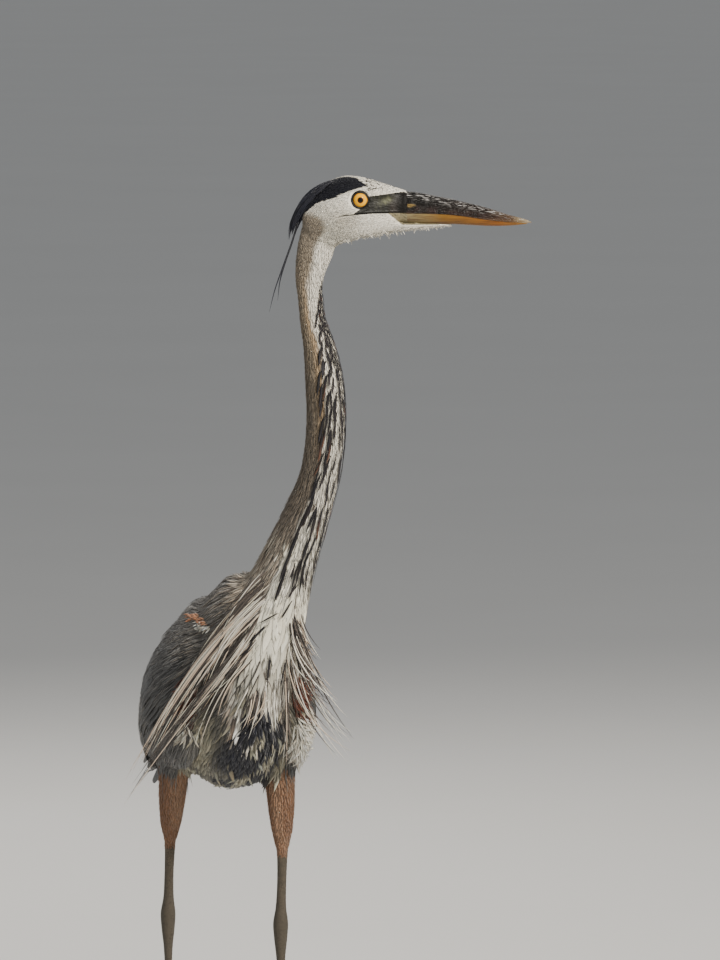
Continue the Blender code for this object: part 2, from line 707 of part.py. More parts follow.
def centre_on_floor():
    """Hangs everything from one empty, moved so that the origin is under the middle of the bird's box."""
    bpy.context.view_layer.update()
    graph = bpy.context.evaluated_depsgraph_get()
    corners = []
    for thing in bpy.data.objects:
        if not thing.hide_render:
            corners += [tuple(c) for c in thing.evaluated_get(graph).bound_box]
    corners = np.array(corners)
    middle = (corners.min(0) + corners.max(0)) / 2
    heron = bpy.data.objects.new("heron", None)
    bpy.context.scene.collection.objects.link(heron)
    for thing in bpy.data.objects:
        if thing != heron:
            thing.parent = heron
    heron.location = (-middle[0], -middle[1], 0)


def main():
    for old in list(bpy.data.objects):
        bpy.data.objects.remove(old)
    build_head()
    cutters = build_body()
    build_neck(cutters)
    floor_slab()
    for side in ("left", "right"):
        build_leg(side, cutters)
    centre_on_floor()


main()
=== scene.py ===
# %% [markdown]
# # A great blue heron, feather by feather
# The solids of the bird say where everything is. This lesson covers them with one skin, lays feathers over
# it, and finishes bill, eyes, legs and claws. All measures are in metres. The frame is loaded first.

# %% Load the frame
import json
import math

import bmesh
import bpy
import numpy as np
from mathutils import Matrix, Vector
from mathutils.bvhtree import BVHTree
from mathutils.kdtree import KDTree

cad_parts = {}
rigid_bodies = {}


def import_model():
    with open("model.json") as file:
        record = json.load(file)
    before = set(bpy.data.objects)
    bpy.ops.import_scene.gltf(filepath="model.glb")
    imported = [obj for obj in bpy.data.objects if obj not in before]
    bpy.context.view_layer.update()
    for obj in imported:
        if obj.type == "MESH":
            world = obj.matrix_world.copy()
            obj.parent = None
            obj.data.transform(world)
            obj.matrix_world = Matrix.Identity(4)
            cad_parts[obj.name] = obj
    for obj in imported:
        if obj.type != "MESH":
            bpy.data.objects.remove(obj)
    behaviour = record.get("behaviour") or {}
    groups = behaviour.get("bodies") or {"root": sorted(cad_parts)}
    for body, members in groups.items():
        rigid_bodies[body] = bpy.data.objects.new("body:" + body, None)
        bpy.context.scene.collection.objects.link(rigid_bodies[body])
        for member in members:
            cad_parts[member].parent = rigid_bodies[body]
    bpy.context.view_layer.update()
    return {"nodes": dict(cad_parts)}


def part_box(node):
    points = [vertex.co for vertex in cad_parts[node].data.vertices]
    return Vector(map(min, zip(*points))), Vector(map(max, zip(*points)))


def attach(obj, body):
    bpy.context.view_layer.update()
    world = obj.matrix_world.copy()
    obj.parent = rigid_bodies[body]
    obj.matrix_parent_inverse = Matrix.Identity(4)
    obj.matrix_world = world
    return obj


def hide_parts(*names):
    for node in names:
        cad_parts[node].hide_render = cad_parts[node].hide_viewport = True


for leftover in list(bpy.data.objects):
    bpy.data.objects.remove(leftover)
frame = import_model()

# %% [markdown]
# ## Directions and landmarks
# A bird is easier to describe in its own directions: ahead, to its left, and up. The trunk is turned a
# little, so they're worked out once. The tables below are measured from the plan's centre, which follows
# from the middle of the two eyes, because their place in the frame is exact.

# %% Directions and landmarks
BODY_TURN = math.radians(12)
FORWARD = np.array([math.sin(BODY_TURN), -math.cos(BODY_TURN), 0.0])
LEFT = np.array([math.cos(BODY_TURN), math.sin(BODY_TURN), 0.0])
UP = np.array([0.0, 0.0, 1.0])
BACKWARD = Vector((0, 1, 0))
EYE_IN_PLAN = np.array([0.1388, -0.117, 0.9612])


def middle_of(node):
    """The middle of a node's box."""
    return np.mean(np.array(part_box(node)), axis=0)


eyes_middle = (middle_of("eye_left") + middle_of("eye_right")) / 2
PLAN = eyes_middle - EYE_IN_PLAN
PLAN[2] = 0.0
HEAD_Y = eyes_middle[1]
EYE_OUT = abs(middle_of("eye_left")[1] - HEAD_Y)
EYE = np.array([eyes_middle[0], 0.0, eyes_middle[2]])
print("plan's centre", PLAN.round(4), "eyes", EYE_OUT, "m out")


def body_point(forward, out, height):
    """A point in the trunk's own directions, from the plan's centre."""
    return PLAN + FORWARD * forward + LEFT * out + UP * height


def body_places(points):
    """How far ahead, out to the left and up each point is."""
    off = points - PLAN
    return off @ FORWARD, off @ LEFT, off[:, 2]


# %% [markdown]
# ## Camera, floor and light
# The bird stands on a plain pale floor and is seen from far away and from almost its own height. A short
# lens would make the near parts look too large, so a long one is used, which keeps the lines of the neck
# and legs straight. The frame's lower edge cuts off the feet, as it would for a bird that wades. One strong
# soft lamp stands in front to the right, a weaker one on the other side, and one behind draws the edge of
# the neck.

# %% Camera, floor and light
LOOK_AT = Vector((0.0307, -0.049, 0.6579))
CAMERA_AT = Vector((0.0307, -9.0147, 1.4423))
LENS_MM = 321.43


def aim(thing, target):
    """Turns a camera or a lamp towards a point."""
    thing.rotation_euler = (target - thing.location).to_track_quat("-Z", "Y").to_euler()


def add_camera():
    data = bpy.data.cameras.new("camera")
    data.lens = LENS_MM
    data.sensor_width = 36.0
    data.clip_end = 300.0
    camera = bpy.data.objects.new("camera", data)
    camera.location = CAMERA_AT
    aim(camera, LOOK_AT)
    bpy.context.scene.collection.objects.link(camera)
    bpy.context.scene.camera = camera


def add_lamp(name, place, size, watts, colour):
    data = bpy.data.lights.new(name, "AREA")
    data.shape = "DISK"
    data.size = size
    data.energy = watts
    data.color = colour
    lamp = bpy.data.objects.new(name, data)
    lamp.location = place
    aim(lamp, Vector((0, 0, 0.6)))
    bpy.context.scene.collection.objects.link(lamp)


add_camera()
add_lamp("key", (1.9, -2.6, 2.9), 0.8, 262, (1.0, 0.94, 0.85))
add_lamp("fill", (-2.6, -2.2, 1.6), 1.8, 14, (0.92, 0.96, 1.0))
add_lamp("rim", (-0.7, 2.6, 2.4), 1.4, 50, (1.0, 0.96, 0.9))

# %% [markdown]
# ## Finishes as formulas
# A finish is a formula of the surface: where it is, how it was coloured, and some noise. Blender writes it
# as a graph of nodes. To add every node and link by hand takes many lines that are hard to read, so a small
# class wraps a socket, and the graph can be written as sums and products. Every other node comes from one
# method, which is told the node's type, its settings and its inputs.

# %% A socket that can be reckoned with


class Sum:
    """A socket in a material's graph. Arithmetic on it adds Math nodes."""

    def __init__(self, finish, socket):
        self.finish = finish
        self.socket = socket

    def math(self, operation, *values):
        return self.finish.node("ShaderNodeMath", {"operation": operation}, dict(enumerate(values)))[0]

    def __rsub__(self, other):
        return self.math("SUBTRACT", other, self)

    def size(self):
        return self.math("ABSOLUTE", self)

    def wave(self):
        return self.math("SINE", self)

    def step(self, low, high):
        """0 below low, 1 above high, smooth between."""
        settings = {"interpolation_type": "SMOOTHSTEP"}
        return self.finish.node("ShaderNodeMapRange", settings, {0: self, 1: low, 2: high})[0]


def sign(operation):
    """What a sign such as + does between a socket and a socket or number."""
    return lambda self, other: self.math(operation, self, other)


Sum.__add__ = Sum.__radd__ = sign("ADD")
Sum.__mul__ = Sum.__rmul__ = sign("MULTIPLY")
Sum.__sub__ = sign("SUBTRACT")
Sum.__truediv__ = sign("DIVIDE")
Sum.__pow__ = sign("POWER")


class Finish:
    """A material, its graph and its shader."""

    def __init__(self, name, **constants):
        self.material = bpy.data.materials.new(name)
        self.material.use_nodes = True
        self.tree = self.material.node_tree
        self.shader = self.tree.nodes["Principled BSDF"]
        for socket, value in constants.items():
            self.shader.inputs[socket.replace("_", " ")].default_value = value

    def node(self, kind, settings=None, values=None):
        """Adds a node and returns its outputs. A value is a number, a colour or another node's output."""
        made = self.tree.nodes.new(kind)
        for key, value in (settings or {}).items():
            if key == "stops":
                set_stops(made.color_ramp, value)
            else:
                setattr(made, key, value)
        for key, value in (values or {}).items():
            if isinstance(value, Sum):
                self.tree.links.new(value.socket, made.inputs[key])
            else:
                made.inputs[key].default_value = value
        return [Sum(self, output) for output in made.outputs]

    def mix(self, factor, first, second):
        """A blend of two colours."""
        first, second = ((*c, 1.0) if isinstance(c, tuple) else c for c in (first, second))
        return self.node("ShaderNodeMix", {"data_type": "RGBA"}, {0: factor, 6: first, 7: second})[2]

    def scale(self, colour, factor):
        """A colour made lighter or darker by a number."""
        return self.node("ShaderNodeVectorMath", {"operation": "SCALE"}, {0: colour, 3: factor})[0]

    def ramp(self, share, stops):
        """The colour at a share between stops."""
        return self.node("ShaderNodeValToRGB", {"stops": stops}, {"Fac": share})[0]

    def place(self):
        """Where the surface is, in metres."""
        return self.node("ShaderNodeTexCoord")[3]

    def stretch(self, where, scales):
        """A place multiplied by a number for each axis."""
        return self.node("ShaderNodeVectorMath", {"operation": "MULTIPLY"}, {0: where, 1: scales})[0]

    def noise(self, where, scale, detail=3.0, rough=0.55):
        values = {"Vector": where, "Scale": scale, "Detail": detail, "Roughness": rough}
        return self.node("ShaderNodeTexNoise", None, values)[0]

    def attribute(self, name):
        """The colour, the vector and the number that the mesh holds under a name."""
        return self.node("ShaderNodeAttribute", {"attribute_name": name})

    def apart(self, vector):
        return self.node("ShaderNodeSeparateXYZ", None, {0: vector})

    def bump(self, height, distance, strength=1.0):
        values = {"Height": height, "Distance": distance, "Strength": strength}
        return self.node("ShaderNodeBump", None, values)[0]

    def feed(self, **sockets):
        """Links outputs to the shader and returns the finished material."""
        for socket, value in sockets.items():
            self.tree.links.new(value.socket, self.shader.inputs[socket.replace("_", " ")])
        return self.material


def set_stops(ramp, stops):
    """Gives a colour ramp its stops, each a position and a colour."""
    while len(ramp.elements) < len(stops):
        ramp.elements.new(1.0)
    for element, (position, colour) in zip(ramp.elements, stops):
        element.position = position
        element.color = (*colour, 1.0)


# %% [markdown]
# The floor is a wide disc of pale matt card. In one flat colour it would look like a hole, so it's faintly
# mottled, but plain enough to leave the eye on the bird. The sky is one pale tone.

# %% The floor and the sky
FLOOR_RADIUS = 90.0


def floor_finish():
    finish = Finish("pale_card", Roughness=0.85)
    where = finish.place()
    cloud = finish.noise(where, 1.7)
    colour = finish.mix(cloud, (0.66, 0.65, 0.63), (0.7, 0.69, 0.67))
    return finish.feed(Base_Color=colour, Normal=finish.bump(finish.noise(where, 60.0), 0.0006, 0.3))


def add_floor():
    mesh = bmesh.new()
    bmesh.ops.create_circle(mesh, cap_ends=True, segments=96, radius=FLOOR_RADIUS)
    data = bpy.data.meshes.new("floor")
    mesh.to_mesh(data)
    mesh.free()
    data.materials.append(floor_finish())
    floor = bpy.data.objects.new("floor", data)
    bpy.context.scene.collection.objects.link(floor)


def add_sky():
    world = bpy.data.worlds.new("studio")
    world.use_nodes = True
    sky = world.node_tree.nodes["Background"]
    sky.inputs["Color"].default_value = (0.84, 0.87, 0.9, 1.0)
    sky.inputs["Strength"].default_value = 0.37
    bpy.context.scene.world = world


add_floor()
add_sky()

# %% [markdown]
# ## Smooth tables
# Long shapes such as the neck and the bill are a few rows of sizes. Straight lines between the rows would
# leave creases, so a smooth curve runs through them and is read wherever a ring or a feather is needed. The
# longer tables are written in tenths of a millimetre.

# %% A smooth run through rows of numbers


class Track:
    """Rows of numbers joined by a smooth curve, read at shares of its length. The first three numbers of
    a row are its place."""

    def __init__(self, rows):
        self.rows = np.array(rows, float)
        steps = np.linalg.norm(np.diff(self.rows[:, :3], axis=0), axis=1)
        self.along = np.concatenate([[0.0], np.cumsum(steps)])
        self.slopes = np.gradient(self.rows, self.along, axis=0)
        self.length = self.along[-1]

    def at(self, shares):
        s = np.clip(np.atleast_1d(shares), 0, 1) * self.length
        i = np.clip(np.searchsorted(self.along, s, side="right") - 1, 0, len(self.along) - 2)
        h = (self.along[i + 1] - self.along[i])[:, None]
        t = (s - self.along[i])[:, None] / h
        start = (2 * t**3 - 3 * t**2 + 1) * self.rows[i] + (t**3 - 2 * t**2 + t) * h * self.slopes[i]
        end = (3 * t**2 - 2 * t**3) * self.rows[i + 1] + (t**3 - t**2) * h * self.slopes[i + 1]
        return start + end

    def heading(self, shares):
        step = 0.004
        return unit(self.at(shares + step)[:, :3] - self.at(shares - step)[:, :3])


def unit(vectors):
    """Vectors brought to length 1."""
    return vectors / np.maximum(np.linalg.norm(vectors, axis=-1, keepdims=True), 1e-12)


def smooth(values, low, high):
    """0 below low, 1 above high, smooth between."""
    t = np.clip((values - low) / (high - low), 0, 1)
    return t * t * (3 - 2 * t)


def between(values, low, full, last, high):
    """1 from full to last, 0 below low and above high."""
    return smooth(values, low, full) * smooth(-values, -high, -last)


def hill(values, width):
    """1 at 0, and near 0 a few widths away."""
    return np.exp(-((values / width) ** 2))


def circle(count):
    """Angles evenly round a circle."""
    return np.linspace(0, 2 * math.pi, count, endpoint=False)


def in_metres(rows, plain=0):
    """A table written in tenths of a millimetre. Its last columns can be plain numbers."""
    rows = np.array(rows, float)
    rows[:, : rows.shape[1] - plain] /= 10000
    return rows


def blend(share, first, second):
    """Numbers or colours blended by a share for each point."""
    first, second = np.asarray(first, float), np.asarray(second, float)
    share = np.asarray(share, float)
    if first.ndim or second.ndim:
        share = share[..., None]
    return first * (1 - share) + second * share


# %% [markdown]
# ## The neck's line
# The neck is a long tube with a gentle S. A Blender curve could hold it, but a table can also be asked
# where a feather is. Each row says where the neck's middle is, how wide and deep it is there with its coat,
# and which way the throat faces. Every place on it then has two simple numbers: how far down it is, and how
# far round from the throat.

# %% The neck's line
NECK = Track(in_metres([  # across, deep, up, half width, half depth, and the throat's turn in degrees
    (1130, -1170, 9400, 120, 140, 86),
    (1000, -1170, 9230, 150, 175, 84),
    (920, -1170, 9060, 160, 190, 78),
    (875, -1180, 8880, 145, 165, 70),
    (862, -1195, 8720, 128, 145, 62),
    (876, -1220, 8570, 121, 138, 57),
    (895, -1260, 8369, 124, 142, 53),
    (945, -1290, 8165, 144, 166, 50),
    (986, -1330, 7961, 166, 192, 48),
    (1012, -1360, 7757, 183, 211, 47),
    (1032, -1370, 7448, 187, 215, 46),
    (1022, -1360, 7137, 188, 216, 45),
    (955, -1290, 6717, 194, 224, 43),
    (808, -1190, 6294, 228, 262, 41),
    (650, -1060, 5870, 278, 318, 37),
    (505, -960, 5450, 345, 390, 32),
    (390, -905, 5050, 405, 430, 26),
    (300, -935, 4600, 400, 420, 18),
    (240, -1020, 4200, 280, 330, 14),
    (210, -1100, 3960, 120, 200, 12),
], 1) + (PLAN[0], PLAN[1], 0, 0, 0, 0))
NECK_SHARES = np.linspace(0, 1, 401)
NECK_ROWS = NECK.at(NECK_SHARES)


def neck_frames(shares):
    """The neck's middle, half width, half depth, and its directions: down, to the throat, and across."""
    rows = NECK.at(shares)
    down = NECK.heading(shares)
    facing = np.radians(rows[:, 5])
    throat = np.column_stack([np.sin(facing), -np.cos(facing), np.zeros(len(rows))])
    throat = unit(throat - down * np.sum(throat * down, axis=1, keepdims=True))
    return rows[:, :3], rows[:, 3], rows[:, 4], down, throat, np.cross(down, throat)


def neck_places(points):
    """How far down the neck each point is, and how far round from the throat, in radians.
    The bird's right side counts as plus."""
    best = np.empty(len(points), int)
    for part in np.array_split(np.arange(len(points)), len(points) // 20000 + 1):
        gaps = np.linalg.norm(points[part, None] - NECK_ROWS[None, :, :3], axis=2)
        best[part] = np.argmin(gaps, axis=1)
    shares = NECK_SHARES[best]
    middle, _, _, _, throat, across = neck_frames(shares)
    off = points - middle
    around = np.arctan2(np.sum(off * across, axis=1), np.sum(off * throat, axis=1))
    return shares, around


print("neck", round(NECK.length, 3), "m long")

# %% [markdown]
# ## One skin
# Under its feathers a bird has one skin without seams. It could be modelled by hand, but the solids already
# give the outline of the coat. So each is drawn in by the depth of its coat, but pushed out a little where
# it meets a neighbour. A voxel remesh turns the overlapping shapes into one surface, and smoothing takes
# the last creases away. The neck is lofted afresh from its table, because its solid also carries the long
# feathers of the breast. A filling behind the head lets the nape run down in one line. Only feathers reach
# the tips of tail and wings.

# %% Shapes from the solids, drawn in by the coat
COAT_DEPTH = {"head": 0.0013, "trunk": 0.0042, "wing": 0.0032, "tail": 0.003, "thigh": 0.0028}
TOUCHING = 0.0013
OVERLAP = 0.001
TAIL_FLESH_END = -0.215
WING_FLESH_END = -0.255


def node_mesh(name):
    """A node's own mesh as a bmesh, with its split corners joined again."""
    mesh = bmesh.new()
    mesh.from_mesh(frame["nodes"][name].data)
    bmesh.ops.remove_doubles(mesh, verts=mesh.verts, dist=0.00002)
    bmesh.ops.recalc_face_normals(mesh, faces=mesh.faces)
    return mesh


def tree_of(names):
    """Several nodes as one tree for finding the nearest surface."""
    points, faces = [], []
    for name in names:
        mesh = node_mesh(name)
        start = len(points)
        points += [v.co.copy() for v in mesh.verts]
        faces += [[start + v.index for v in f.verts] for f in mesh.faces]
        mesh.free()
    return BVHTree.FromPolygons(points, faces)


def drawn_in(name, coat, neighbours, fixed=()):
    """A node's shape, drawn in by the coat's depth and pushed out where it meets its neighbours."""
    mesh = node_mesh(name)
    long_edges = [e for e in mesh.edges if e.calc_length() > 0.006]
    bmesh.ops.subdivide_edges(mesh, edges=long_edges, cuts=1)
    bmesh.ops.triangulate(mesh, faces=mesh.faces)
    mesh.normal_update()
    near = tree_of(neighbours)
    still = tree_of(fixed) if fixed else None
    own = BVHTree.FromBMesh(mesh)
    moves = []
    for v in mesh.verts:
        through = own.ray_cast(v.co - v.normal * 0.0002, -v.normal)[3]
        move = -min(coat, 0.27 * (through or 1.0))
        if near.find_nearest(v.co, TOUCHING)[0]:
            move = OVERLAP
        if still and still.find_nearest(v.co, TOUCHING)[0]:
            move = 0.0
        moves.append(v.normal * move)
    for v, move in zip(mesh.verts, moves):
        v.co += move
    return mesh


def cut_short(mesh, end):
    """Cuts off what lies behind a place along the body, and closes the cut."""
    at = body_point(end, 0, 0)
    geometry = mesh.verts[:] + mesh.edges[:] + mesh.faces[:]
    bmesh.ops.bisect_plane(mesh, geom=geometry, plane_co=at, plane_no=-FORWARD, clear_outer=True)
    rim = [e for e in mesh.edges if e.is_boundary]
    bmesh.ops.triangle_fill(mesh, edges=rim, use_beauty=True)


# %% Lofts and joins


def add_loft(mesh, rings):
    """Adds a closed shape through rings of as many points each."""
    loops = [[mesh.verts.new(p) for p in ring] for ring in rings]
    count = len(loops[0])
    for low, high in zip(loops, loops[1:]):
        for k in range(count):
            j = (k + 1) % count
            mesh.faces.new((low[k], low[j], high[j], high[k]))
    mesh.faces.new(loops[0])
    mesh.faces.new(loops[-1])


def loft(rings):
    mesh = bmesh.new()
    add_loft(mesh, rings)
    bmesh.ops.recalc_face_normals(mesh, faces=mesh.faces)
    return mesh


def ovals(middles, sides, ups, halves, rises, count=32):
    """Rings of an oval section."""
    angles = circle(count)
    across = np.cos(angles)[None, :, None] * (sides * halves[:, None])[:, None, :]
    high = np.sin(angles)[None, :, None] * (ups * rises[:, None])[:, None, :]
    return middles[:, None, :] + across + high


def to_object(name, mesh):
    """Puts a bmesh in the scene."""
    data = bpy.data.meshes.new(name)
    mesh.to_mesh(data)
    mesh.free()
    thing = bpy.data.objects.new(name, data)
    bpy.context.scene.collection.objects.link(thing)
    return thing


def finish_piece(thing, material, slot, *replaced):
    """Gives a piece its material and its body, and hides the nodes that it stands for. The slot is not used.
    """
    thing.data.materials.append(material)
    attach(thing, "root")
    if replaced:
        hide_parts(*replaced)


def join_meshes(meshes):
    """Several bmeshes in one."""
    whole = bmesh.new()
    for mesh in meshes:
        data = bpy.data.meshes.new("part")
        mesh.to_mesh(data)
        whole.from_mesh(data)
        mesh.free()
        bpy.data.meshes.remove(data)
    return whole


def settle(thing, *steps):
    """Applies modifiers, each a type and its settings, and puts the result in the object's mesh."""
    for kind, settings in steps:
        step = thing.modifiers.new(kind.lower(), kind)
        for key, value in settings.items():
            setattr(step, key, value)
    graph = bpy.context.evaluated_depsgraph_get()
    result = bpy.data.meshes.new_from_object(thing.evaluated_get(graph))
    thing.modifiers.clear()
    thing.data = result
    return thing


def keep_largest(thing):
    """Drops the crumbs that a remesh leaves in thin places, and keeps the one large surface."""
    mesh = bmesh.new()
    mesh.from_mesh(thing.data)
    left = set(mesh.verts)
    largest = set()
    while left:
        shell = {left.pop()}
        edge = list(shell)
        while edge:
            near = {e.other_vert(v) for v in edge for e in v.link_edges} - shell
            shell |= near
            edge = list(near)
        left -= shell
        largest = max(largest, shell, key=len)
    bmesh.ops.delete(mesh, geom=[v for v in mesh.verts if v not in largest], context="VERTS")
    mesh.to_mesh(thing.data)
    mesh.free()


def remeshed(name, meshes, voxel, rounds):
    """One smooth closed surface round overlapping shapes."""
    thing = to_object(name, join_meshes(meshes))
    settle(thing, ("REMESH", {"mode": "VOXEL", "voxel_size": voxel}))
    keep_largest(thing)
    return settle(thing, ("SMOOTH", {"factor": 0.5, "iterations": rounds}))


# %% [markdown]
# The bare leg is scaly: broad plates overlap down its front like tiles, and small scales cover the rest.
# Bumps in the finish wouldn't show at the leg's outline, so the plates are real steps. Each ring is pushed
# out at the top of a plate and falls back below it, more in front than behind, and the toes have the same
# steps along their tops. The floor cuts the soles flat.

# %% The legs and feet
THIGH_END = {"right": (-0.04, -0.0545), "left": (0.054, 0.0472)}  # ahead, out
ANKLES = {"right": (-0.054, -0.054), "left": (0.046, 0.047)}
FEET = {"right": (-0.046, -0.054), "left": (0.058, 0.047)}
SHANK_TOP = 0.272
ANKLE_HEIGHT = 0.197
FOOT_TOP = 0.017
TOES = [  # name, turn, length, half width
    ("middle", 0, 0.094, 0.0056),
    ("inner", -32, 0.072, 0.0052),
    ("outer", 30, 0.082, 0.0052),
    ("hind", 172, 0.048, 0.0054),
]
SCUTE = 0.0042
SCUTE_STEP = 0.00042


def leg_rows(side):
    """Ahead, out, height, half width, half depth, from inside the thigh to inside the foot."""
    top_f, top_o = THIGH_END[side]
    ankle_f, ankle_o = ANKLES[side]
    foot_f, foot_o = FEET[side]
    return [
        (top_f, top_o, SHANK_TOP + 0.022, 0.0056, 0.006),
        (top_f, top_o, SHANK_TOP, 0.0054, 0.0058),
        (0.6 * top_f + 0.4 * ankle_f, top_o, 0.24, 0.0048, 0.0054),
        (0.2 * top_f + 0.8 * ankle_f, ankle_o, 0.214, 0.0056, 0.0066),
        (ankle_f, ankle_o, ANKLE_HEIGHT, 0.0078, 0.0094),
        (ankle_f, ankle_o, ANKLE_HEIGHT - 0.014, 0.007, 0.008),
        (0.95 * ankle_f + 0.05 * foot_f, ankle_o, 0.165, 0.005, 0.006),
        (0.5 * ankle_f + 0.5 * foot_f, foot_o, 0.095, 0.0042, 0.0052),
        (0.1 * ankle_f + 0.9 * foot_f, foot_o, 0.036, 0.005, 0.0058),
        (foot_f, foot_o, FOOT_TOP, 0.0072, 0.0078),
        (foot_f, foot_o, 0.006, 0.0078, 0.009),
    ]


def leg_shape(side):
    track = Track([(*body_point(f, o, h), wide, deep) for f, o, h, wide, deep in leg_rows(side)])
    count = int(track.length / 0.00115)
    rows = track.at(np.linspace(0, 1, count))
    angles = circle(32)
    front = smooth(np.sin(angles), -0.25, 0.55)
    back = smooth(-np.sin(angles), 0.35, 0.9)
    rings = []
    for x, y, z, wide, deep in rows:
        tile = (z / SCUTE) % 1.0
        step = SCUTE_STEP * (tile**0.7 - 0.55 - 0.35 * smooth(tile, 0.93, 1.0))
        beads = 0.00012 * np.sin(angles * 11) * np.sin(2 * math.pi * z / 0.0024)
        swell = step * front + beads * (1 - front)
        ridge = 0.0007 * back * smooth(ANKLE_HEIGHT - z, 0.01, 0.04)
        across = np.cos(angles)[:, None] * LEFT * (wide + swell)[:, None]
        ahead = np.sin(angles)[:, None] * FORWARD * (deep + swell + ridge)[:, None]
        rings.append(np.array([x, y, z]) + across + ahead)
    return loft(rings)


def toe_frame(side, turn):
    outward = 1 if side == "left" else -1
    a = math.radians(turn) * outward
    ahead = FORWARD * math.cos(a) + LEFT * math.sin(a)
    return ahead, np.cross(UP, ahead)


def toe_shape(side, turn, length, half):
    """A toe with swollen joints and tiles on top, sunk a little into the floor to be cut flat."""
    ahead, across = toe_frame(side, turn)
    start = body_point(*FEET[side], 0)
    angles = circle(24)
    top = smooth(np.sin(angles), 0.1, 0.8)
    rings = []
    for share in np.linspace(0, 1, int(length / 0.0009)):
        swell = 1 + 0.1 * math.cos(share * 6 * math.pi)
        size = (half - 0.0002) * (1 - 0.42 * share) * swell
        size *= math.sqrt(max(1 - smooth(share, 0.93, 1.0) ** 2 * 0.9, 0.05))
        reach = (length + 0.0008 - 0.003) * share
        tile = ((length - reach) / 0.0034) % 1.0
        radius = size + 0.00032 * (tile**0.7 - 0.6) * top
        middle = start + ahead * (0.003 + reach) + UP * size * 0.7
        ring = np.cos(angles)[:, None] * across * radius[:, None]
        rings.append(middle + ring + np.sin(angles)[:, None] * UP * radius[:, None])
    return loft(rings)


def pad_shape(side):
    rows = in_metres([(-40, 78, 88), (30, 88, 99), (90, 86, 96), (150, 68, 74)])
    middles = np.array([body_point(*FEET[side], height) for height in rows[:, 0]])
    sides, fronts = (np.tile(direction, (len(rows), 1)) for direction in (LEFT, FORWARD))
    return loft(ovals(middles, sides, fronts, rows[:, 1], rows[:, 2], 28))


def combine(thing, other, operation):
    """Joins another closed shape to a thing, or cuts it away. Nothing is left inside."""
    settle(thing, ("BOOLEAN", {"operation": operation, "object": other, "solver": "MANIFOLD"}))
    bpy.data.objects.remove(other)


def floor_cut(thing):
    """Cuts a shape flat at the floor."""
    mesh = bmesh.new()
    bmesh.ops.create_cube(mesh, size=1.0)
    bmesh.ops.translate(mesh, verts=mesh.verts, vec=(0, 0, -0.5))
    combine(thing, to_object("slab", mesh), "DIFFERENCE")


def leg(side):
    thing = to_object(f"leg_{side}", leg_shape(side))
    combine(thing, to_object("pad", pad_shape(side)), "UNION")
    for toe, turn, length, half in TOES:
        combine(thing, to_object(f"toe_{toe}", toe_shape(side, turn, length, half)), "UNION")
    floor_cut(thing)
    return thing


# %% The neck, the head and the body as skin


def neck_shape():
    """The neck drawn in by its coat, which grows from a short pile at the top to long feathers below."""
    shares = np.linspace(0, 1, 190)
    middles, wide, deep, _, throat, across = neck_frames(shares)
    coat = np.interp(shares, [0, 0.15, 0.5, 0.75, 1], [0.001, 0.0011, 0.0014, 0.0036, 0.0042])
    wide = np.maximum(wide - coat, 0.45 * wide)
    deep = np.maximum(deep - coat, 0.45 * deep)
    return loft(ovals(middles, across, throat, wide, deep, 48))


NAPE = in_metres([(935, 9440, 100), (872, 9250, 100), (838, 9080, 100), (828, 8880, 95), (850, 8640, 85)])


def nape_shape():
    """A filling behind the joint of head and neck, so that the nape runs down in one line."""
    across, height, half = NAPE.T
    middles = np.column_stack([across + PLAN[0], np.full(len(NAPE), HEAD_Y), height])
    sides = np.tile([0, 1.0, 0], (len(NAPE), 1))
    backs = np.tile(unit(np.array([1.0, 0, -0.25])), (len(NAPE), 1))
    return loft(ovals(middles, sides, backs, half * 0.95, half))


def eye_bed():
    """A short rod across the head that fills the sockets up to behind the eyes."""
    ends = np.array([[EYE[0], HEAD_Y + y, EYE[2]] for y in (-EYE_OUT - 0.0015, EYE_OUT + 0.0015)])
    sides = np.tile([1.0, 0, 0], (2, 1))
    half = np.full(2, 0.0094)
    return loft(ovals(ends, sides, np.tile(UP, (2, 1)), half, half, 32))


LEG_NODES = [f"{part}_{side}" for part in ("shank", "tarsus", "foot") for side in ("left", "right")]
NECK_NODES = ["neck_upper", "neck_middle", "neck_lower"]
BODY_NODES = ["trunk", "wing_left", "wing_right", "tail", "thigh_left", "thigh_right"]
FLESH_NODES = ["head", *NECK_NODES, *BODY_NODES, *LEG_NODES]
BODY_VOXEL = 0.0029
HEAD_VOXEL = 0.0012


def body_shape(name):
    """One of the body's nodes as it lies in the skin."""
    neighbours = [n for n in [*BODY_NODES, "neck_lower"] if n != name]
    mesh = drawn_in(name, COAT_DEPTH[name.split("_")[0]], neighbours)
    if name == "tail":
        cut_short(mesh, TAIL_FLESH_END)
    if name.startswith("wing"):
        cut_short(mesh, WING_FLESH_END)
    return mesh


def make_skin():
    shapes = [neck_shape(), nape_shape(), *[body_shape(name) for name in BODY_NODES]]
    body = remeshed("skin", shapes, BODY_VOXEL, 5)
    head = drawn_in("head", COAT_DEPTH["head"], ["neck_upper"], ["bill_upper", "bill_lower"])
    head = remeshed("skin_head", [head, eye_bed()], HEAD_VOXEL, 3)
    for other in (head, leg("left"), leg("right")):
        combine(body, other, "UNION")
    return body


skin = make_skin()
print("skin of", len(skin.data.polygons), "faces")

# %% [markdown]
# The face is looked at first, so its folds are real shape. They need a finer mesh than the body, but a
# finer mesh everywhere would be heavy, so only the face's skin is cut finer. The line of the mouth runs
# back to below the eye as a groove between two soft lips. A low ridge over the eye makes the brow, and the
# lore sinks in a little. At the bill the face narrows to the bill's own width, so that horn and skin meet
# without a step.

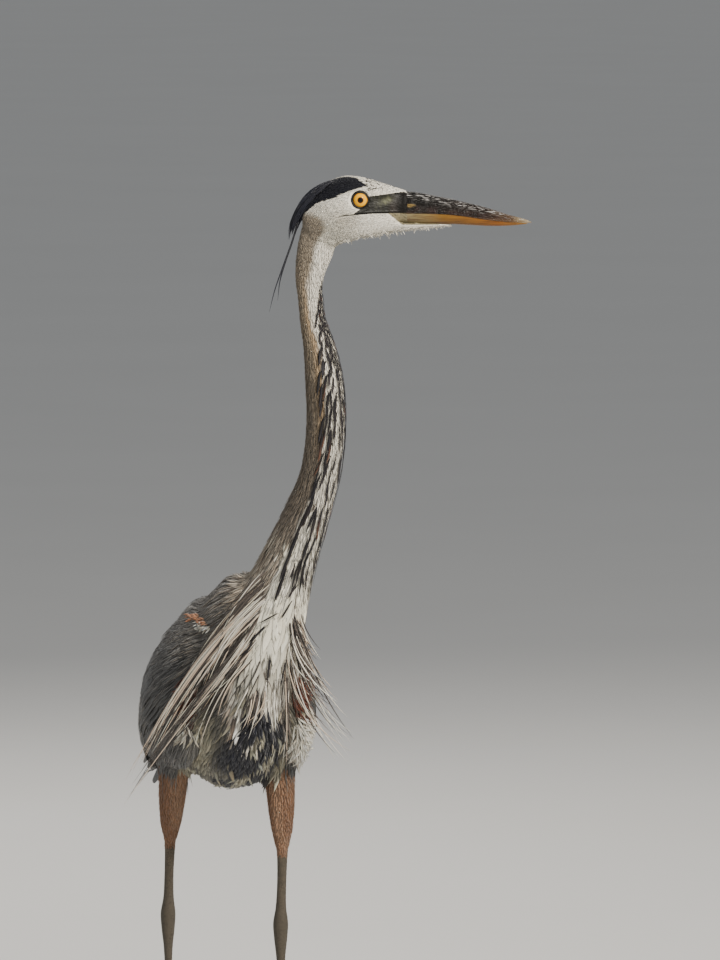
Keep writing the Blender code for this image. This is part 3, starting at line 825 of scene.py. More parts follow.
# %% Folds of the face
BILL = Track(in_metres([  # across, ridge, mouth line, keel, half width
    (1760, 9690, 9468, 9376, 88),
    (1840, 9694, 9468, 9367, 96),
    (1933, 9688, 9468, 9362, 94),
    (2170, 9644, 9464, 9356, 82),
    (2355, 9607, 9451, 9352, 71),
    (2530, 9565, 9427, 9343, 59),
    (2716, 9515, 9397, 9334, 46),
    (2900, 9455, 9379, 9336, 33),
    (3036, 9418, 9371, 9347, 22),
    (3110, 9396, 9368, 9357, 14),
]) + (PLAN[0], 0, 0, 0, 0))
MOUTH_LINE = in_metres([(540, -143), (340, -136), (120, -139), (-55, -151), (-180, -165), (-320, -205)])
BROW_RADIUS = 0.0114
BILL_START = 0.0485  # ahead of the eyes


def read_array(owner, attribute, width, kind=float):
    out = np.empty(len(owner) * width, kind)
    owner.foreach_get(attribute, out)
    return out.reshape(-1, width) if width > 1 else out


def from_eye(points):
    """Places on the head: ahead of the eyes, out from the middle, and above the eyes."""
    return points[:, 0] - EYE[0], np.abs(points[:, 1] - HEAD_Y), points[:, 2] - EYE[2]


def line_gap(x, z, line):
    """How far places are from a bent line."""
    gaps = []
    places = np.column_stack([x, z])
    for a, b in zip(np.array(line), np.array(line)[1:]):
        t = np.clip((places - a) @ (b - a) / ((b - a) @ (b - a)), 0, 1)
        gaps.append(np.linalg.norm(places - a - t[:, None] * (b - a), axis=1))
    return np.min(gaps, axis=0)


def refine(thing, chosen):
    """Cuts each chosen face of a mesh in four."""
    mesh = bmesh.new()
    mesh.from_mesh(thing.data)
    mesh.faces.ensure_lookup_table()
    middles = np.array([f.calc_center_median() for f in mesh.faces])
    faces = [mesh.faces[k] for k in np.flatnonzero(chosen(middles))]
    edges = {e for f in faces for e in f.edges}
    bmesh.ops.subdivide_edges(mesh, edges=list(edges), cuts=1, use_grid_fill=True)
    mesh.to_mesh(thing.data)
    mesh.free()


def face_front(middles):
    x, y, z = from_eye(middles)
    return (x > -0.02) & (x < BILL_START) & (z > -0.024) & (z < 0.013) & (y > 0.006)


def face_folds(middles):
    x, y, z = from_eye(middles)
    near = line_gap(x, z, MOUTH_LINE) < 0.0021
    return (x > -0.03) & (x < BILL_START) & (y > 0.006) & near


def bill_half(x, z):
    """The bill's half width at a place along it and a height."""
    rows = np.array([np.interp(x, BILL.rows[:, 0], BILL.rows[:, k]) for k in range(1, 5)])
    ridge, mouth, keel, half = rows
    rise = np.where(z > mouth, ridge - mouth, mouth - keel)
    share = np.clip(np.abs(z - mouth) / rise, 0, 1)
    return half * np.sqrt(1 - share ** (2 / 0.85)), ridge, keel


def fold_face(thing):
    """Presses the folds into the face and fits it to the bill."""
    points = read_array(thing.data.vertices, "co", 3)
    normals = read_array(thing.data.vertices, "normal", 3)
    x, y, z = from_eye(points)
    on_face = (np.abs(x) < 0.06) & (z > -0.035) & (y > 0.003)
    gap = line_gap(x, z, MOUTH_LINE)
    fold = -0.00085 * hill(gap, 0.00062) + 0.00032 * hill(gap - 0.0015, 0.0007)
    move = fold * (smooth(x, -0.032, -0.008) * on_face)
    above = np.sin(np.arctan2(z, x))
    radius = np.hypot(x, z)
    brow = hill(radius - BROW_RADIUS, 0.0012) * smooth(above, -0.1, 0.7)
    pouch = hill(radius - 0.0118, 0.0009) * smooth(-above, 0.2, 0.9)
    ditch = hill(radius - 0.0103, 0.0006)
    move += (0.00065 * brow + 0.0003 * pouch - 0.00035 * ditch) * on_face
    lore = between(x, 0.01, 0.018, 0.038, 0.046)
    upper_edge = np.interp(x, [0.009, 0.0229, 0.0466], [0.0035, 0.0052, 0.0082])
    hollow = hill(z - upper_edge * 0.5 + 0.003, 0.004)
    rim = hill(z - upper_edge, 0.001)
    crinkle = np.sin(x * 2300 + z * 900) * np.sin(z * 2700 - x * 500) * 0.0001
    move += (-0.0007 * hollow + 0.00035 * rim + crinkle * hollow) * lore * on_face
    points += normals * move[:, None]
    half, ridge, keel = bill_half(points[:, 0], points[:, 2])
    reach = smooth(x, 0.03, 0.045) * smooth(points[:, 2] - keel, -0.001, 0.0008)
    reach *= smooth(ridge - points[:, 2], 0.0004, 0.0022) * (x < 0.055) * (z < 0.03)
    side = points[:, 1] - HEAD_Y
    target = np.minimum(np.abs(side), half + 0.00022)
    points[:, 1] = HEAD_Y + np.sign(side) * (np.abs(side) * (1 - reach) + target * reach)
    thing.data.vertices.foreach_set("co", points.ravel())
    thing.data.update()


refine(skin, face_front)
refine(skin, face_folds)
fold_face(skin)
print("skin of", len(skin.data.polygons), "faces with a finer face")

# %% [markdown]
# ## Which way the coat lies
# Every point of the skin gets a part of the body, a direction for its feathers and their size. They could
# be combed by hand, but a rule such as "down the neck" is short and easy to change. Where two parts meet
# the rules would jump, so each point takes the average of its neighbours a few times, and the coat turns
# smoothly from the head to the tail.

# %% The skin as arrays
PARTS = ["head", "neck", "trunk", "wing_right", "wing_left", "tail", "thigh_right", "thigh_left", "leg"]
HEAD, NECK_PART, TRUNK, WING_RIGHT, WING_LEFT, TAIL, THIGH_RIGHT, THIGH_LEFT, LEG = range(9)

skin_points = read_array(skin.data.vertices, "co", 3)
skin_normals = read_array(skin.data.vertices, "normal", 3)
skin_edges = read_array(skin.data.edges, "vertices", 2, int)
skin.data.calc_loop_triangles()
skin_faces = read_array(skin.data.loop_triangles, "vertices", 3, int)
edge_counts = np.bincount(skin_edges.ravel(), minlength=len(skin_points))


def spread(values, rounds):
    """Numbers at the skin's points, averaged with their neighbours a few times."""
    a, b = skin_edges.T
    count = len(skin_points)
    flat = values.reshape(count, -1).copy()
    for _ in range(rounds):
        for column in flat.T:
            near = np.bincount(a, column[b], count) + np.bincount(b, column[a], count)
            column *= 0.5
            column += 0.5 * near / edge_counts
    return flat.reshape(values.shape)


def label_skin():
    """The part of the body that each point of the skin belongs to."""
    groups = {
        "head": ["head"],
        "trunk": ["trunk"],
        "tail": ["tail"],
        "leg": LEG_NODES,
        **{name: [name] for name in ("wing_right", "wing_left", "thigh_right", "thigh_left")},
    }
    points, faces, owners = [], [], []
    for part in PARTS:
        meshes = [neck_shape()] if part == "neck" else [node_mesh(name) for name in groups[part]]
        for mesh in meshes:
            start = len(points)
            points += [v.co.copy() for v in mesh.verts]
            faces += [[start + v.index for v in f.verts] for f in mesh.faces]
            owners += [PARTS.index(part)] * len(mesh.faces)
            mesh.free()
    tree = BVHTree.FromPolygons(points, faces)
    return np.array([owners[tree.find_nearest(p)[2]] for p in skin_points.tolist()])


skin_part = label_skin()
neck_share, neck_around = neck_places(skin_points)
print({name: int((skin_part == k).sum()) for k, name in enumerate(PARTS)})

# %% The lie and the size of the feathers


def by_height(z, heights, *rows):
    """Sizes in millimetres read from a table of heights, as columns in metres."""
    return np.column_stack([np.interp(z, heights, row) for row in rows]) / 1000


def lie_of_coat(points, part, share, around):
    """The direction of the feathers at each point, before it is laid on the surface."""
    ahead, _, z = body_places(points)
    _, _, _, down, _, across = neck_frames(share)
    lie = np.tile(-0.8 * FORWARD - 0.6 * UP, (len(points), 1))
    fan = np.interp(z, [0.42, 0.5, 0.58, 0.64], [0.42, 0.4, 0.16, 0.0]) * np.sin(around)
    on_neck = part == NECK_PART
    lie[on_neck] = (down + across * fan[:, None])[on_neck]
    on_wing = (part == WING_LEFT) | (part == WING_RIGHT)
    back = smooth(-ahead, -0.06, 0.1)[:, None]
    wing_lie = (-0.78 * FORWARD - 0.62 * UP) * (1 - back) + (-0.9 * FORWARD - 0.42 * UP) * back
    lie[on_wing] = wing_lie[on_wing]
    lie[part == TAIL] = -FORWARD - 0.12 * UP
    thigh = (part == THIGH_LEFT) | (part == THIGH_RIGHT)
    lie[thigh] = -UP - 0.12 * FORWARD
    behind = EYE[0] - points[:, 0]
    turn = smooth(behind + 0.9 * (0.95 - z), 0.002, 0.06)[:, None]
    head_lie = unit(np.array([-1.0, 0, -0.14])) * (1 - turn) + down * turn
    lie[part == HEAD] = head_lie[part == HEAD]
    return lie


def size_of_coat(points, part):
    """Length, half width, spacing and lift of the feathers at each point."""
    ahead, _, z = body_places(points)
    size = np.tile(np.array([22, 2.8, 3.8, 2.4]) / 1000, (len(points), 1))
    heights = [0.42, 0.5, 0.56, 0.62, 0.7, 0.8, 0.88, 0.93]
    neck = by_height(
        z,
        heights,
        [30, 34, 30, 22, 16, 12, 9, 7],
        [2.4, 2.0, 1.7, 1.4, 1.2, 1.1, 1.0, 0.9],
        [3.4, 2.9, 2.5, 2.2, 1.9, 1.75, 1.6, 1.4],
        [3.2, 3.4, 3.2, 2.4, 1.3, 1.0, 0.9, 0.8],
    )
    size[part == NECK_PART] = neck[part == NECK_PART]
    wing = by_height(
        -ahead,
        [-0.09, -0.03, 0.05, 0.2],
        [15, 17, 24, 30],
        [1.3, 1.5, 2.6, 3.6],
        [2.3, 2.5, 3.5, 4.4],
        [1.0, 1.0, 1.2, 1.4],
    )
    on_wing = (part == WING_LEFT) | (part == WING_RIGHT)
    size[on_wing] = wing[on_wing]
    thigh = by_height(z, [0.27, 0.3, 0.38], [4.5, 7, 11], [0.8, 1.1, 1.5], [1.3, 1.7, 2.4], [0.6, 0.9, 1.4])
    on_thigh = (part == THIGH_LEFT) | (part == THIGH_RIGHT)
    size[on_thigh] = thigh[on_thigh]
    size[part == TAIL] = np.array([24, 4.2, 4.6, 1.6]) / 1000
    size[part == LEG] = np.array([3.0, 0.6, 1.2, 0.3]) / 1000
    forward = points[:, 0] - EYE[0]
    near_eye = np.hypot(forward, z - EYE[2])
    face = np.maximum(smooth(forward, 0.0, 0.03), smooth(-near_eye, -0.02, -0.009))[:, None]
    head = np.array([6.0, 0.85, 1.25, 0.55]) * (1 - face) + np.array([3.4, 0.6, 0.95, 0.32]) * face
    size[part == HEAD] = head[part == HEAD] / 1000
    return size


lie_raw = unit(lie_of_coat(skin_points, skin_part, neck_share, neck_around))
skin_lie = spread(lie_raw, 14)
skin_size = spread(size_of_coat(skin_points, skin_part), 14)

# %% A surface that feathers can be laid on
skin_tree = BVHTree.FromPolygons(skin_points.tolist(), skin_faces.tolist())
face_normals = unit(skin_normals[skin_faces].sum(axis=1))
face_lies = skin_lie[skin_faces].mean(axis=1)


def on_skin(points):
    """The nearest places on the skin, with the skin's smooth normal and the lie of the coat there."""
    found = [skin_tree.find_nearest(p) for p in points.tolist()]
    places = np.array([hit[0] for hit in found])
    faces = np.array([hit[2] for hit in found])
    normals = face_normals[faces]
    return places, normals, laid_flat(face_lies[faces], normals)


def laid_flat(directions, normals):
    """Directions turned into the surface."""
    return unit(directions - normals * np.sum(directions * normals, axis=1, keepdims=True))


def skin_hits(starts, direction):
    """Where rays from some places meet the skin. A ray that misses takes the nearest place."""
    return np.array([skin_tree.ray_cast(p, direction)[0] or skin_tree.find_nearest(p)[0] for p in starts])


print("feathers lie on", len(skin_faces), "faces")

# %% [markdown]
# ## One builder for every feather
# A feather is a narrow solid vane, arched and closed below. It starts in the skin, follows the surface, and
# lifts towards its tip, so that it lies over the roots behind it like a tile on a roof. Particle hair would
# be quicker to set up, but it can't be carried over to a mesh file, so all the feathers of a tract are made
# at once, as one mesh, with arrays of numbers. The same builder makes a 4 mm feather of the face and a 200
# mm quill: only the sizes, the number of rows and the outline differ.

# %% The feather builder
OUTLINES = {  # share of the length, share of the greatest half width
    "lancet": ([0, 0.12, 0.38, 0.65, 0.86, 1], [0.35, 0.7, 1.0, 0.86, 0.46, 0.04]),
    "tile": ([0, 0.15, 0.45, 0.75, 0.92, 1], [0.35, 0.7, 0.97, 1.0, 0.7, 0.16]),
    "strand": ([0, 0.1, 0.35, 0.7, 0.9, 1], [0.5, 0.85, 1.0, 0.7, 0.34, 0.04]),
    "quill": ([0, 0.08, 0.25, 0.6, 0.85, 0.95, 1], [0.25, 0.55, 0.85, 1.0, 0.92, 0.55, 0.12]),
    "streak": ([0, 0.2, 0.5, 0.75, 0.92, 1], [0.2, 0.75, 1.0, 0.8, 0.36, 0.04]),
}
PATCH = 0.003


def path_weights(stations, shares):
    """How much each station of a path counts at each share of its length, for a smooth curve."""
    each = np.eye(stations)
    slopes = np.gradient(each, axis=0)
    s = np.asarray(shares) * (stations - 1)
    i = np.clip(s.astype(int), 0, stations - 2)
    t = (s - i)[:, None]
    start = (2 * t**3 - 3 * t**2 + 1) * each[i] + (t**3 - 2 * t**2 + t) * slopes[i]
    return start + (3 * t**2 - 2 * t**3) * each[i + 1] + (t**3 - t**2) * slopes[i + 1]


class Feathers:
    """A tract of feathers: their paths on the skin, their sizes and their colours."""

    def __init__(self, paths, normals, half_width, lift):
        self.paths = paths  # feather, station, xyz
        self.normals = normals
        self.half_width = np.broadcast_to(half_width, len(paths)).astype(float)
        self.lift = np.broadcast_to(lift, len(paths)).astype(float)
        self.length = np.linalg.norm(np.diff(paths, axis=1), axis=2).sum(axis=1)
        self.places = paths[:, paths.shape[1] // 2]
        white = np.ones((len(paths), 3))
        self.root, self.tip, self.shaft = white, white, white
        self.shaft_share = np.zeros(len(paths))

    def coloured(self, root, tip, shaft=None, shaft_share=0.0):
        self.root, self.tip = np.asarray(root, float), np.asarray(tip, float)
        self.shaft = self.tip if shaft is None else np.asarray(shaft, float)
        self.shaft_share = shaft_share

    def chosen(self, keep):
        """Some of the feathers, as a tract of their own."""
        some = Feathers(self.paths[keep], self.normals[keep], self.half_width[keep], self.lift[keep])
        for key in ("root", "tip", "shaft", "shaft_share"):
            value = getattr(self, key)
            setattr(some, key, np.broadcast_to(value, (len(keep), *np.shape(value)[1:]))[keep])
        return some


def as_rows(values, count):
    """One colour for each feather."""
    return np.broadcast_to(np.asarray(values, float), (count, 3))


def feather_mesh(
    name, tract, material, slot, rows, columns, outline, camber, sink=0.0004, thick=0.0, curl=0.0
):
    """All the feathers of a tract as one mesh of closed vanes, with their colours and their map. Camber
    arches them, sink puts their roots into the skin, and curl sways their tips to a side."""
    count = len(tract.paths)
    t = np.linspace(0, 1, rows)
    weights = path_weights(tract.paths.shape[1], t)
    ahead = path_weights(tract.paths.shape[1], np.clip(t + 0.02, 0, 1))
    behind = path_weights(tract.paths.shape[1], np.clip(t - 0.02, 0, 1))
    spine = np.einsum("rk,nkc->nrc", weights, tract.paths)
    run = unit(np.einsum("rk,nkc->nrc", ahead - behind, tract.paths))
    normal = np.einsum("rk,nkc->nrc", weights, tract.normals)
    normal = unit(normal - run * np.sum(normal * run, axis=2, keepdims=True))
    side = np.cross(run, normal)
    wide = np.interp(t, *OUTLINES[outline])[None, :] * tract.half_width[:, None]
    height = tract.lift[:, None] * t[None, :] ** 1.3 - sink * (1 - t)[None, :] ** 2
    u = np.linspace(-1, 1, columns)
    if thick:
        u = np.concatenate([u, u[1:-1][::-1]])
    under = np.concatenate([np.zeros(columns), np.full(len(u) - columns, thick)])
    out = wide[:, :, None] * u[None, None, :]
    high = height[:, :, None] + camber * wide[:, :, None] * (0.3 - u**2)[None, None, :] - under
    points = spine[:, :, None] + side[:, :, None] * out[..., None] + normal[:, :, None] * high[..., None]
    if np.any(curl):
        sway = (np.broadcast_to(curl, count)[:, None] * t[None, :] ** 2.2)[:, :, None, None]
        points = points + side[:, :, None] * sway
    ring = len(u)
    data = bpy.data.meshes.new(name)
    fill_mesh(data, points.reshape(-1, 3), *vane_faces(count, rows, ring, columns))
    colour_vanes(data, tract, t, u, wide)
    map_vanes(data, tract, t, u)
    piece = bpy.data.objects.new(name, data)
    bpy.context.scene.collection.objects.link(piece)
    finish_piece(piece, material, slot)
    print(name, count, "feathers")
    return piece


def loose_feathers(name, tract, material, slot, rows, columns, outline, camber, sway=0.0):
    """Long feathers that lie on the coat, so that their roots needn't sink in."""
    feather_mesh(name, tract, material, slot, rows, columns, outline, camber, 0.0, 0.0, sway)


def vane_faces(count, rows, ring, columns):
    """Corner lists of one vane's faces, repeated for all: quads along it, then a cap at each end."""
    r, k = np.meshgrid(np.arange(rows - 1), np.arange(ring), indexing="ij")
    j = (k + 1) % ring
    here, next_row = r * ring, (r + 1) * ring
    quads = np.stack([here + k, here + j, next_row + j, next_row + k], axis=-1).reshape(-1, 4)
    flat = (k >= columns - 1).ravel()
    root_cap = np.arange(ring)[::-1]
    tip_cap = (rows - 1) * ring + np.arange(ring)
    corners = np.concatenate([quads.ravel(), root_cap, tip_cap])
    sizes = np.concatenate([np.full(len(quads), 4), [ring, ring]])
    flat = np.concatenate([flat, [True, True]])
    each = np.arange(count)[:, None]
    return (corners[None, :] + each * rows * ring).ravel(), np.tile(sizes, count), np.tile(flat, count)


def fill_mesh(data, points, corners, sizes, flat):
    """Puts points and faces into a mesh in one go. Flat faces keep a sharp edge round them."""
    data.vertices.add(len(points))
    data.vertices.foreach_set("co", points.ravel())
    data.loops.add(len(corners))
    data.loops.foreach_set("vertex_index", corners)
    data.polygons.add(len(sizes))
    data.polygons.foreach_set("loop_start", np.concatenate([[0], np.cumsum(sizes)[:-1]]))
    data.update(calc_edges=True)
    data.shade_smooth()
    data.attributes.new("sharp_face", "BOOLEAN", "FACE").data.foreach_set("value", flat)
    data.validate()


def colour_vanes(data, tract, t, u, wide):
    """A colour at every point, from root to tip, with the shaft's colour in the middle. The vane's own
    measures go with it: millimetres along and across, and a number that differs from feather to feather."""
    count = len(tract.paths)
    along = smooth(t, 0.25, 0.95)[None, :, None, None]
    root, tip, shaft = (as_rows(c, count)[:, None, None, :] for c in (tract.root, tract.tip, tract.shaft))
    tint = root * (1 - along) + tip * along
    middle = (1 - np.abs(u))[None, None, :, None]
    share = np.broadcast_to(tract.shaft_share, count)[:, None, None, None] * middle
    tint = np.broadcast_to(tint, (count, len(t), len(u), 3)) * (1 - share) + shaft * share
    rgba = np.concatenate([tint, np.ones((*tint.shape[:3], 1))], axis=-1)
    data.attributes.new("tint", "FLOAT_COLOR", "POINT").data.foreach_set("color", rgba.ravel())
    measure = np.empty((count, len(t), len(u), 3))
    measure[..., 0] = (t[None, :] * tract.length[:, None] * 1000)[:, :, None]
    measure[..., 1] = wide[:, :, None] * u[None, None, :] * 1000
    measure[..., 2] = (np.arange(count) * 0.618034 % 1.0)[:, None, None]
    data.attributes.new("vane", "FLOAT_VECTOR", "POINT").data.foreach_set("vector", measure.ravel())


def map_vanes(data, tract, t, u):
    """Each vane is a small patch of the map, at its root's place on an unwrap of the tract's own shape."""
    at = unwrapped(tract.paths[:, 0])
    patch = PATCH * np.stack(np.meshgrid(t - 0.5, u * 0.5, indexing="ij"), axis=-1)
    corners = read_array(data.loops, "vertex_index", 1, int)
    places = (at[:, None, None, :] + patch[None]).reshape(-1, 2)[corners]
    data.uv_layers.new(name="OFBake").data.foreach_set("uv", places.ravel())


def unwrapped(roots):
    """Places round and along a tract's own long axis, between 0 and 1."""
    middle = roots.mean(axis=0)
    axes = np.linalg.eigh((roots - middle).T @ (roots - middle))[1][:, ::-1]
    local = (roots - middle) @ axes
    around = np.arctan2(local[:, 2], local[:, 1]) / (2 * math.pi) + 0.5
    along = (local[:, 0] - local[:, 0].min()) / max(np.ptp(local[:, 0]), 1e-6)
    return 0.004 + 0.992 * np.column_stack([around, along])


# %% Roots scattered over the skin, and paths laid from them
SEED = 11
chance = np.random.default_rng(SEED)
corner_points = skin_points[skin_faces]
face_edges = corner_points[:, 1:] - corner_points[:, :1]
face_areas = np.linalg.norm(np.cross(face_edges[:, 0], face_edges[:, 1]), axis=1) / 2
face_part = skin_part[skin_faces[:, 0]]


def millimetres(low, high, count):
    """Chance lengths between two numbers of millimetres."""
    return chance.uniform(low, high, count) / 1000


def thinned(points, radii):
    """Which points to keep so that no two are nearer than their spacing."""
    tree = KDTree(len(points))
    for k, p in enumerate(points.tolist()):
        tree.insert(p, k)
    tree.balance()
    dropped = np.zeros(len(points), bool)
    kept = []
    for k, (p, radius) in enumerate(zip(points.tolist(), radii.tolist())):
        if dropped[k]:
            continue
        kept.append(k)
        for _, other, _ in tree.find_range(p, radius):
            dropped[other] = True
    return np.array(kept)


def scatter(chosen_faces, closeness):
    """Roots over some faces of the skin, spaced by the size of the coat there."""
    faces = np.flatnonzero(chosen_faces)
    spacing = skin_size[skin_faces[faces, 0], 2] * closeness
    wanted = face_areas[faces] / spacing**2 * 2.6
    picks = np.repeat(faces, chance.poisson(wanted))
    picks = picks[chance.permutation(len(picks))]
    a, b = chance.random((2, len(picks)))
    fold = a + b > 1
    a[fold], b[fold] = 1 - a[fold], 1 - b[fold]
    shares = np.stack([1 - a - b, a, b], axis=1)[:, :, None]
    corners = skin_faces[picks]
    points = np.sum(skin_points[corners] * shares, axis=1)
    sizes = np.sum(skin_size[corners] * shares, axis=1)
    kept = thinned(points, sizes[:, 2] * closeness)
    return points[kept], sizes[kept], picks[kept]


def turned(directions, normals, angles):
    """Directions turned about the surface's normal."""
    c, s = np.cos(angles)[:, None], np.sin(angles)[:, None]
    return directions * c + np.cross(normals, directions) * s


def laid_paths(roots, lengths, stations, angles, hang=0.0):
    """Paths that start at the roots and follow the skin and the lie of its coat. With hang, a path goes
    on in its own direction where the surface turns away, as a long loose feather does."""
    place, normal, lie = on_skin(roots)
    heading = turned(lie, normal, angles)
    paths, normals = [place], [normal]
    step = lengths[:, None] / (stations - 1)
    for _ in range(stations - 1):
        aimed = paths[-1] + heading * step
        place, normal, lie = on_skin(aimed)
        off = np.sum((aimed - place) * normal, axis=1, keepdims=True)
        place = place + normal * np.maximum(off, 0) * hang
        paths.append(place)
        normals.append(normal)
        lie = turned(lie, normal, angles * 0.5)
        heading = unit(lie * (1 - hang) + heading * hang)
    return np.stack(paths, axis=1), np.stack(normals, axis=1)


def tract_over(chosen_faces, closeness, spread_angle, longer=1.0, hang=0.0):
    """A tract of feathers scattered over some of the skin."""
    roots, sizes, faces = scatter(chosen_faces, closeness)
    count = len(roots)
    lengths = sizes[:, 0] * chance.uniform(0.85, 1.18, count) * longer
    angles = chance.normal(0, spread_angle, count)
    paths, normals = laid_paths(roots, lengths, 3, angles, hang)
    lift = sizes[:, 3] * chance.uniform(0.7, 1.35, count)
    tract = Feathers(paths, normals, sizes[:, 1] * chance.uniform(0.85, 1.15, count), lift)
    tract.faces = faces
    return tract


# %% [markdown]
# ## The markings
# Skin and feathers take their colours from the same rules, so that no wrong colour shows between two
# feathers. The markings could be painted by hand, but then the feathers couldn't ask for the colour at
# their roots. A rule looks at where a point is: above or below a line on the head, how far round the neck,
# how far down the breast. A little smooth noise roughens each border.

# %% Colours of the plumage and of the bare parts
WHITE = np.array([0.77, 0.73, 0.635])
OFF_WHITE = np.array([0.55, 0.52, 0.435])
BLACK = np.array([0.0055, 0.006, 0.01])
SLATE = np.array([0.052, 0.051, 0.049])
PALE_SLATE = np.array([0.19, 0.185, 0.175])
BUFF = np.array([0.5, 0.43, 0.34])
OLIVE_WHITE = np.array([0.36, 0.335, 0.245])
RUST = np.array([0.205, 0.105, 0.056])
PALE_RUST = np.array([0.33, 0.2, 0.12])
CHESTNUT = np.array([0.17, 0.05, 0.024])
LORE_DARK = np.array([0.01, 0.01, 0.008])
LORE_OLIVE = np.array([0.17, 0.175, 0.1])
HORN_DARK = np.array([0.013, 0.011, 0.009])
HORN_OLIVE = np.array([0.19, 0.163, 0.095])
SCALE_DARK = np.array([0.05, 0.045, 0.036])
SCALE_BROWN = np.array([0.125, 0.1, 0.07])
# the grey of the painted shade on the cheek behind and below the eye
PAINTED_CHEEK_SHADE = np.array([0.3, 0.265, 0.205])
TAN = np.array([0.4, 0.275, 0.15])
BACK_BROWN = np.array([0.13, 0.12, 0.106])
SHOULDER_BROWN = np.array([0.15, 0.13, 0.108])
LORE_BROWN = np.array([0.036, 0.021, 0.014])
RUFOUS = np.array([0.42, 0.17, 0.075])
STREAK_RUST = np.array([0.14, 0.065, 0.04])
STREAK_DARK = np.array([0.026, 0.021, 0.023])
STREAK_ROOT = np.array([0.014, 0.012, 0.014])
PLUME_CREAM = np.array([0.8, 0.7, 0.57])
PLUME_FAWN = np.array([0.56, 0.45, 0.345])
PLUME_DUSK = np.array([0.04, 0.032, 0.027])
PLUME_BROWN = np.array([0.11, 0.085, 0.07])
BIB_WHITE = np.array([0.72, 0.69, 0.6])
BACK_GREY = np.array([0.115, 0.108, 0.098])
SOOT = np.array([0.02, 0.017, 0.018])


def ripple(points, size, seed):
    """Smooth noise over the body, between about -1 and 1, with hills as large as size."""
    numbers = np.random.default_rng(seed)
    waves = points @ (numbers.normal(size=(3, 9)) * 2.2 / size) + numbers.uniform(0, 2 * math.pi, 9)
    return np.sin(waves).sum(axis=1) / 4.5


def bare_horn(points, margin=0.0):
    """Where the horn of the lower bill shows on the head, ahead of the slanting edge of the feathers."""
    x, y, z = from_eye(points)
    edge = 0.0292 + (-z - 0.0142) * 1.15 + 0.0004 * np.sin(z * 4000)
    return (x > edge - margin) & (z < -0.0136) & (z > -0.0262 - margin) & (y > 0.003)


def bare_face(points, margin=0.0):
    """Where the face has no feathers: the lore, between eye and bill, the rim of the eye, and the horn."""
    x, y, z = from_eye(points)
    top = np.interp(x, [-0.006, 0.001, 0.009, 0.0229, 0.0466], [-0.0135, -0.009, 0.0035, 0.0052, 0.0082])
    low = np.interp(x, [-0.006, 0.034, 0.048], [-0.015, -0.0138, -0.0144])
    lore = (x > -0.006 - margin) & (z < top + margin) & (z > low - margin) & (y > 0.004)
    slit = (x > -0.022) & (x < 0.05) & (line_gap(x, z, MOUTH_LINE) < 0.0005 + margin) & (y > 0.004)
    return lore | slit | (np.hypot(x, z) < 0.0096 + margin) | bare_horn(points, margin)


def crown_stripe(points):
    """The black stripe from over each eye to the nape, where the two meet."""
    x, y, z = from_eye(points)
    x = x + ripple(points, 0.006, 3) * 0.0008
    z = z + ripple(points, 0.005, 4) * 0.0007
    places = [-0.0588, -0.0518, -0.0444, -0.0244, -0.0189, -0.0062, 0.0075]
    low = np.interp(x, places, [-0.0152, -0.0087, -0.0033, 0.0022, 0.0055, 0.0109, 0.014])
    places = [-0.0398, -0.0278, -0.0153, -0.003, 0.0012, 0.0112]
    white_crown = np.interp(x, places, [0, 0.002, 0.0035, 0.0058, 0.0084, 0.01])
    front = 0.0075 - np.maximum(z - 0.014, 0)
    return smooth(z - low, -0.0006, 0.0006) * smooth(y - white_crown, -0.0006, 0.0006) * (x < front)


def neck_brown(points, around):
    """How far a point of the neck is on its brown side, past the white of the throat and foreneck."""
    border = np.interp(
        points[:, 2],
        [0.42, 0.46, 0.5, 0.6, 0.7, 0.75, 0.8, 0.82, 0.845, 0.87, 0.9],
        [44, 48, 52, 52, 51, 49, 45, 48, 60, 68, 76],
    )
    turn = np.degrees(np.abs(around)) + ripple(points, 0.012, 5) * 4
    return turn - border


def brown_of_neck(points):
    """The colour of the neck's sides and back, from tan near the head to grey-brown below."""
    heights = [0.44, 0.5, 0.56, 0.65, 0.75, 0.83, 0.88, 0.93]
    reds = [0.165, 0.19, 0.185, 0.15, 0.15, 0.215, 0.25, 0.24]
    greens = [0.14, 0.16, 0.152, 0.122, 0.12, 0.172, 0.203, 0.2]
    blues = [0.122, 0.137, 0.124, 0.092, 0.086, 0.118, 0.145, 0.15]
    return np.column_stack([np.interp(points[:, 2], heights, c) for c in (reds, greens, blues)])


def nape_brown(points):
    """How brown a point of the nape is: the border runs down from behind the cheek."""
    x, _, z = from_eye(points)
    heights = [-0.092, -0.0765, -0.0498, -0.041, -0.0304, -0.02, -0.0145]
    border = np.interp(z, heights, [-0.052, -0.05, -0.0458, -0.0425, -0.035, -0.037, -0.046])
    x = x + ripple(points, 0.0022, 15) * 0.0012
    return smooth(border - x, -0.0034, 0.0046) * smooth(-z, 0.008, 0.018)


def head_colour(points):
    x, _, z = from_eye(points)
    colour = blend(smooth(-z, 0.0, 0.03) * smooth(-x, -0.01, 0.02), WHITE, OFF_WHITE)
    # painted shade: a grey pool on the cheek behind and below the eye
    painted_shade = hill(x + 0.016, 0.016) * hill(z + 0.02, 0.0075)
    colour = blend(0.4 * painted_shade, colour, PAINTED_CHEEK_SHADE)
    # painted shadow: a dark line along a crease of the cheek, below and behind the eye
    crease_shadow = hill(z + 0.0165 + 0.1 * (x + 0.004), 0.0013) * (x < -0.002) * smooth(x, -0.034, -0.012)
    colour = blend(0.45 * crease_shadow, colour, 0.4 * OFF_WHITE)
    colour = blend(nape_brown(points), colour, brown_of_neck(points))
    return blend(crown_stripe(points), colour, BLACK)


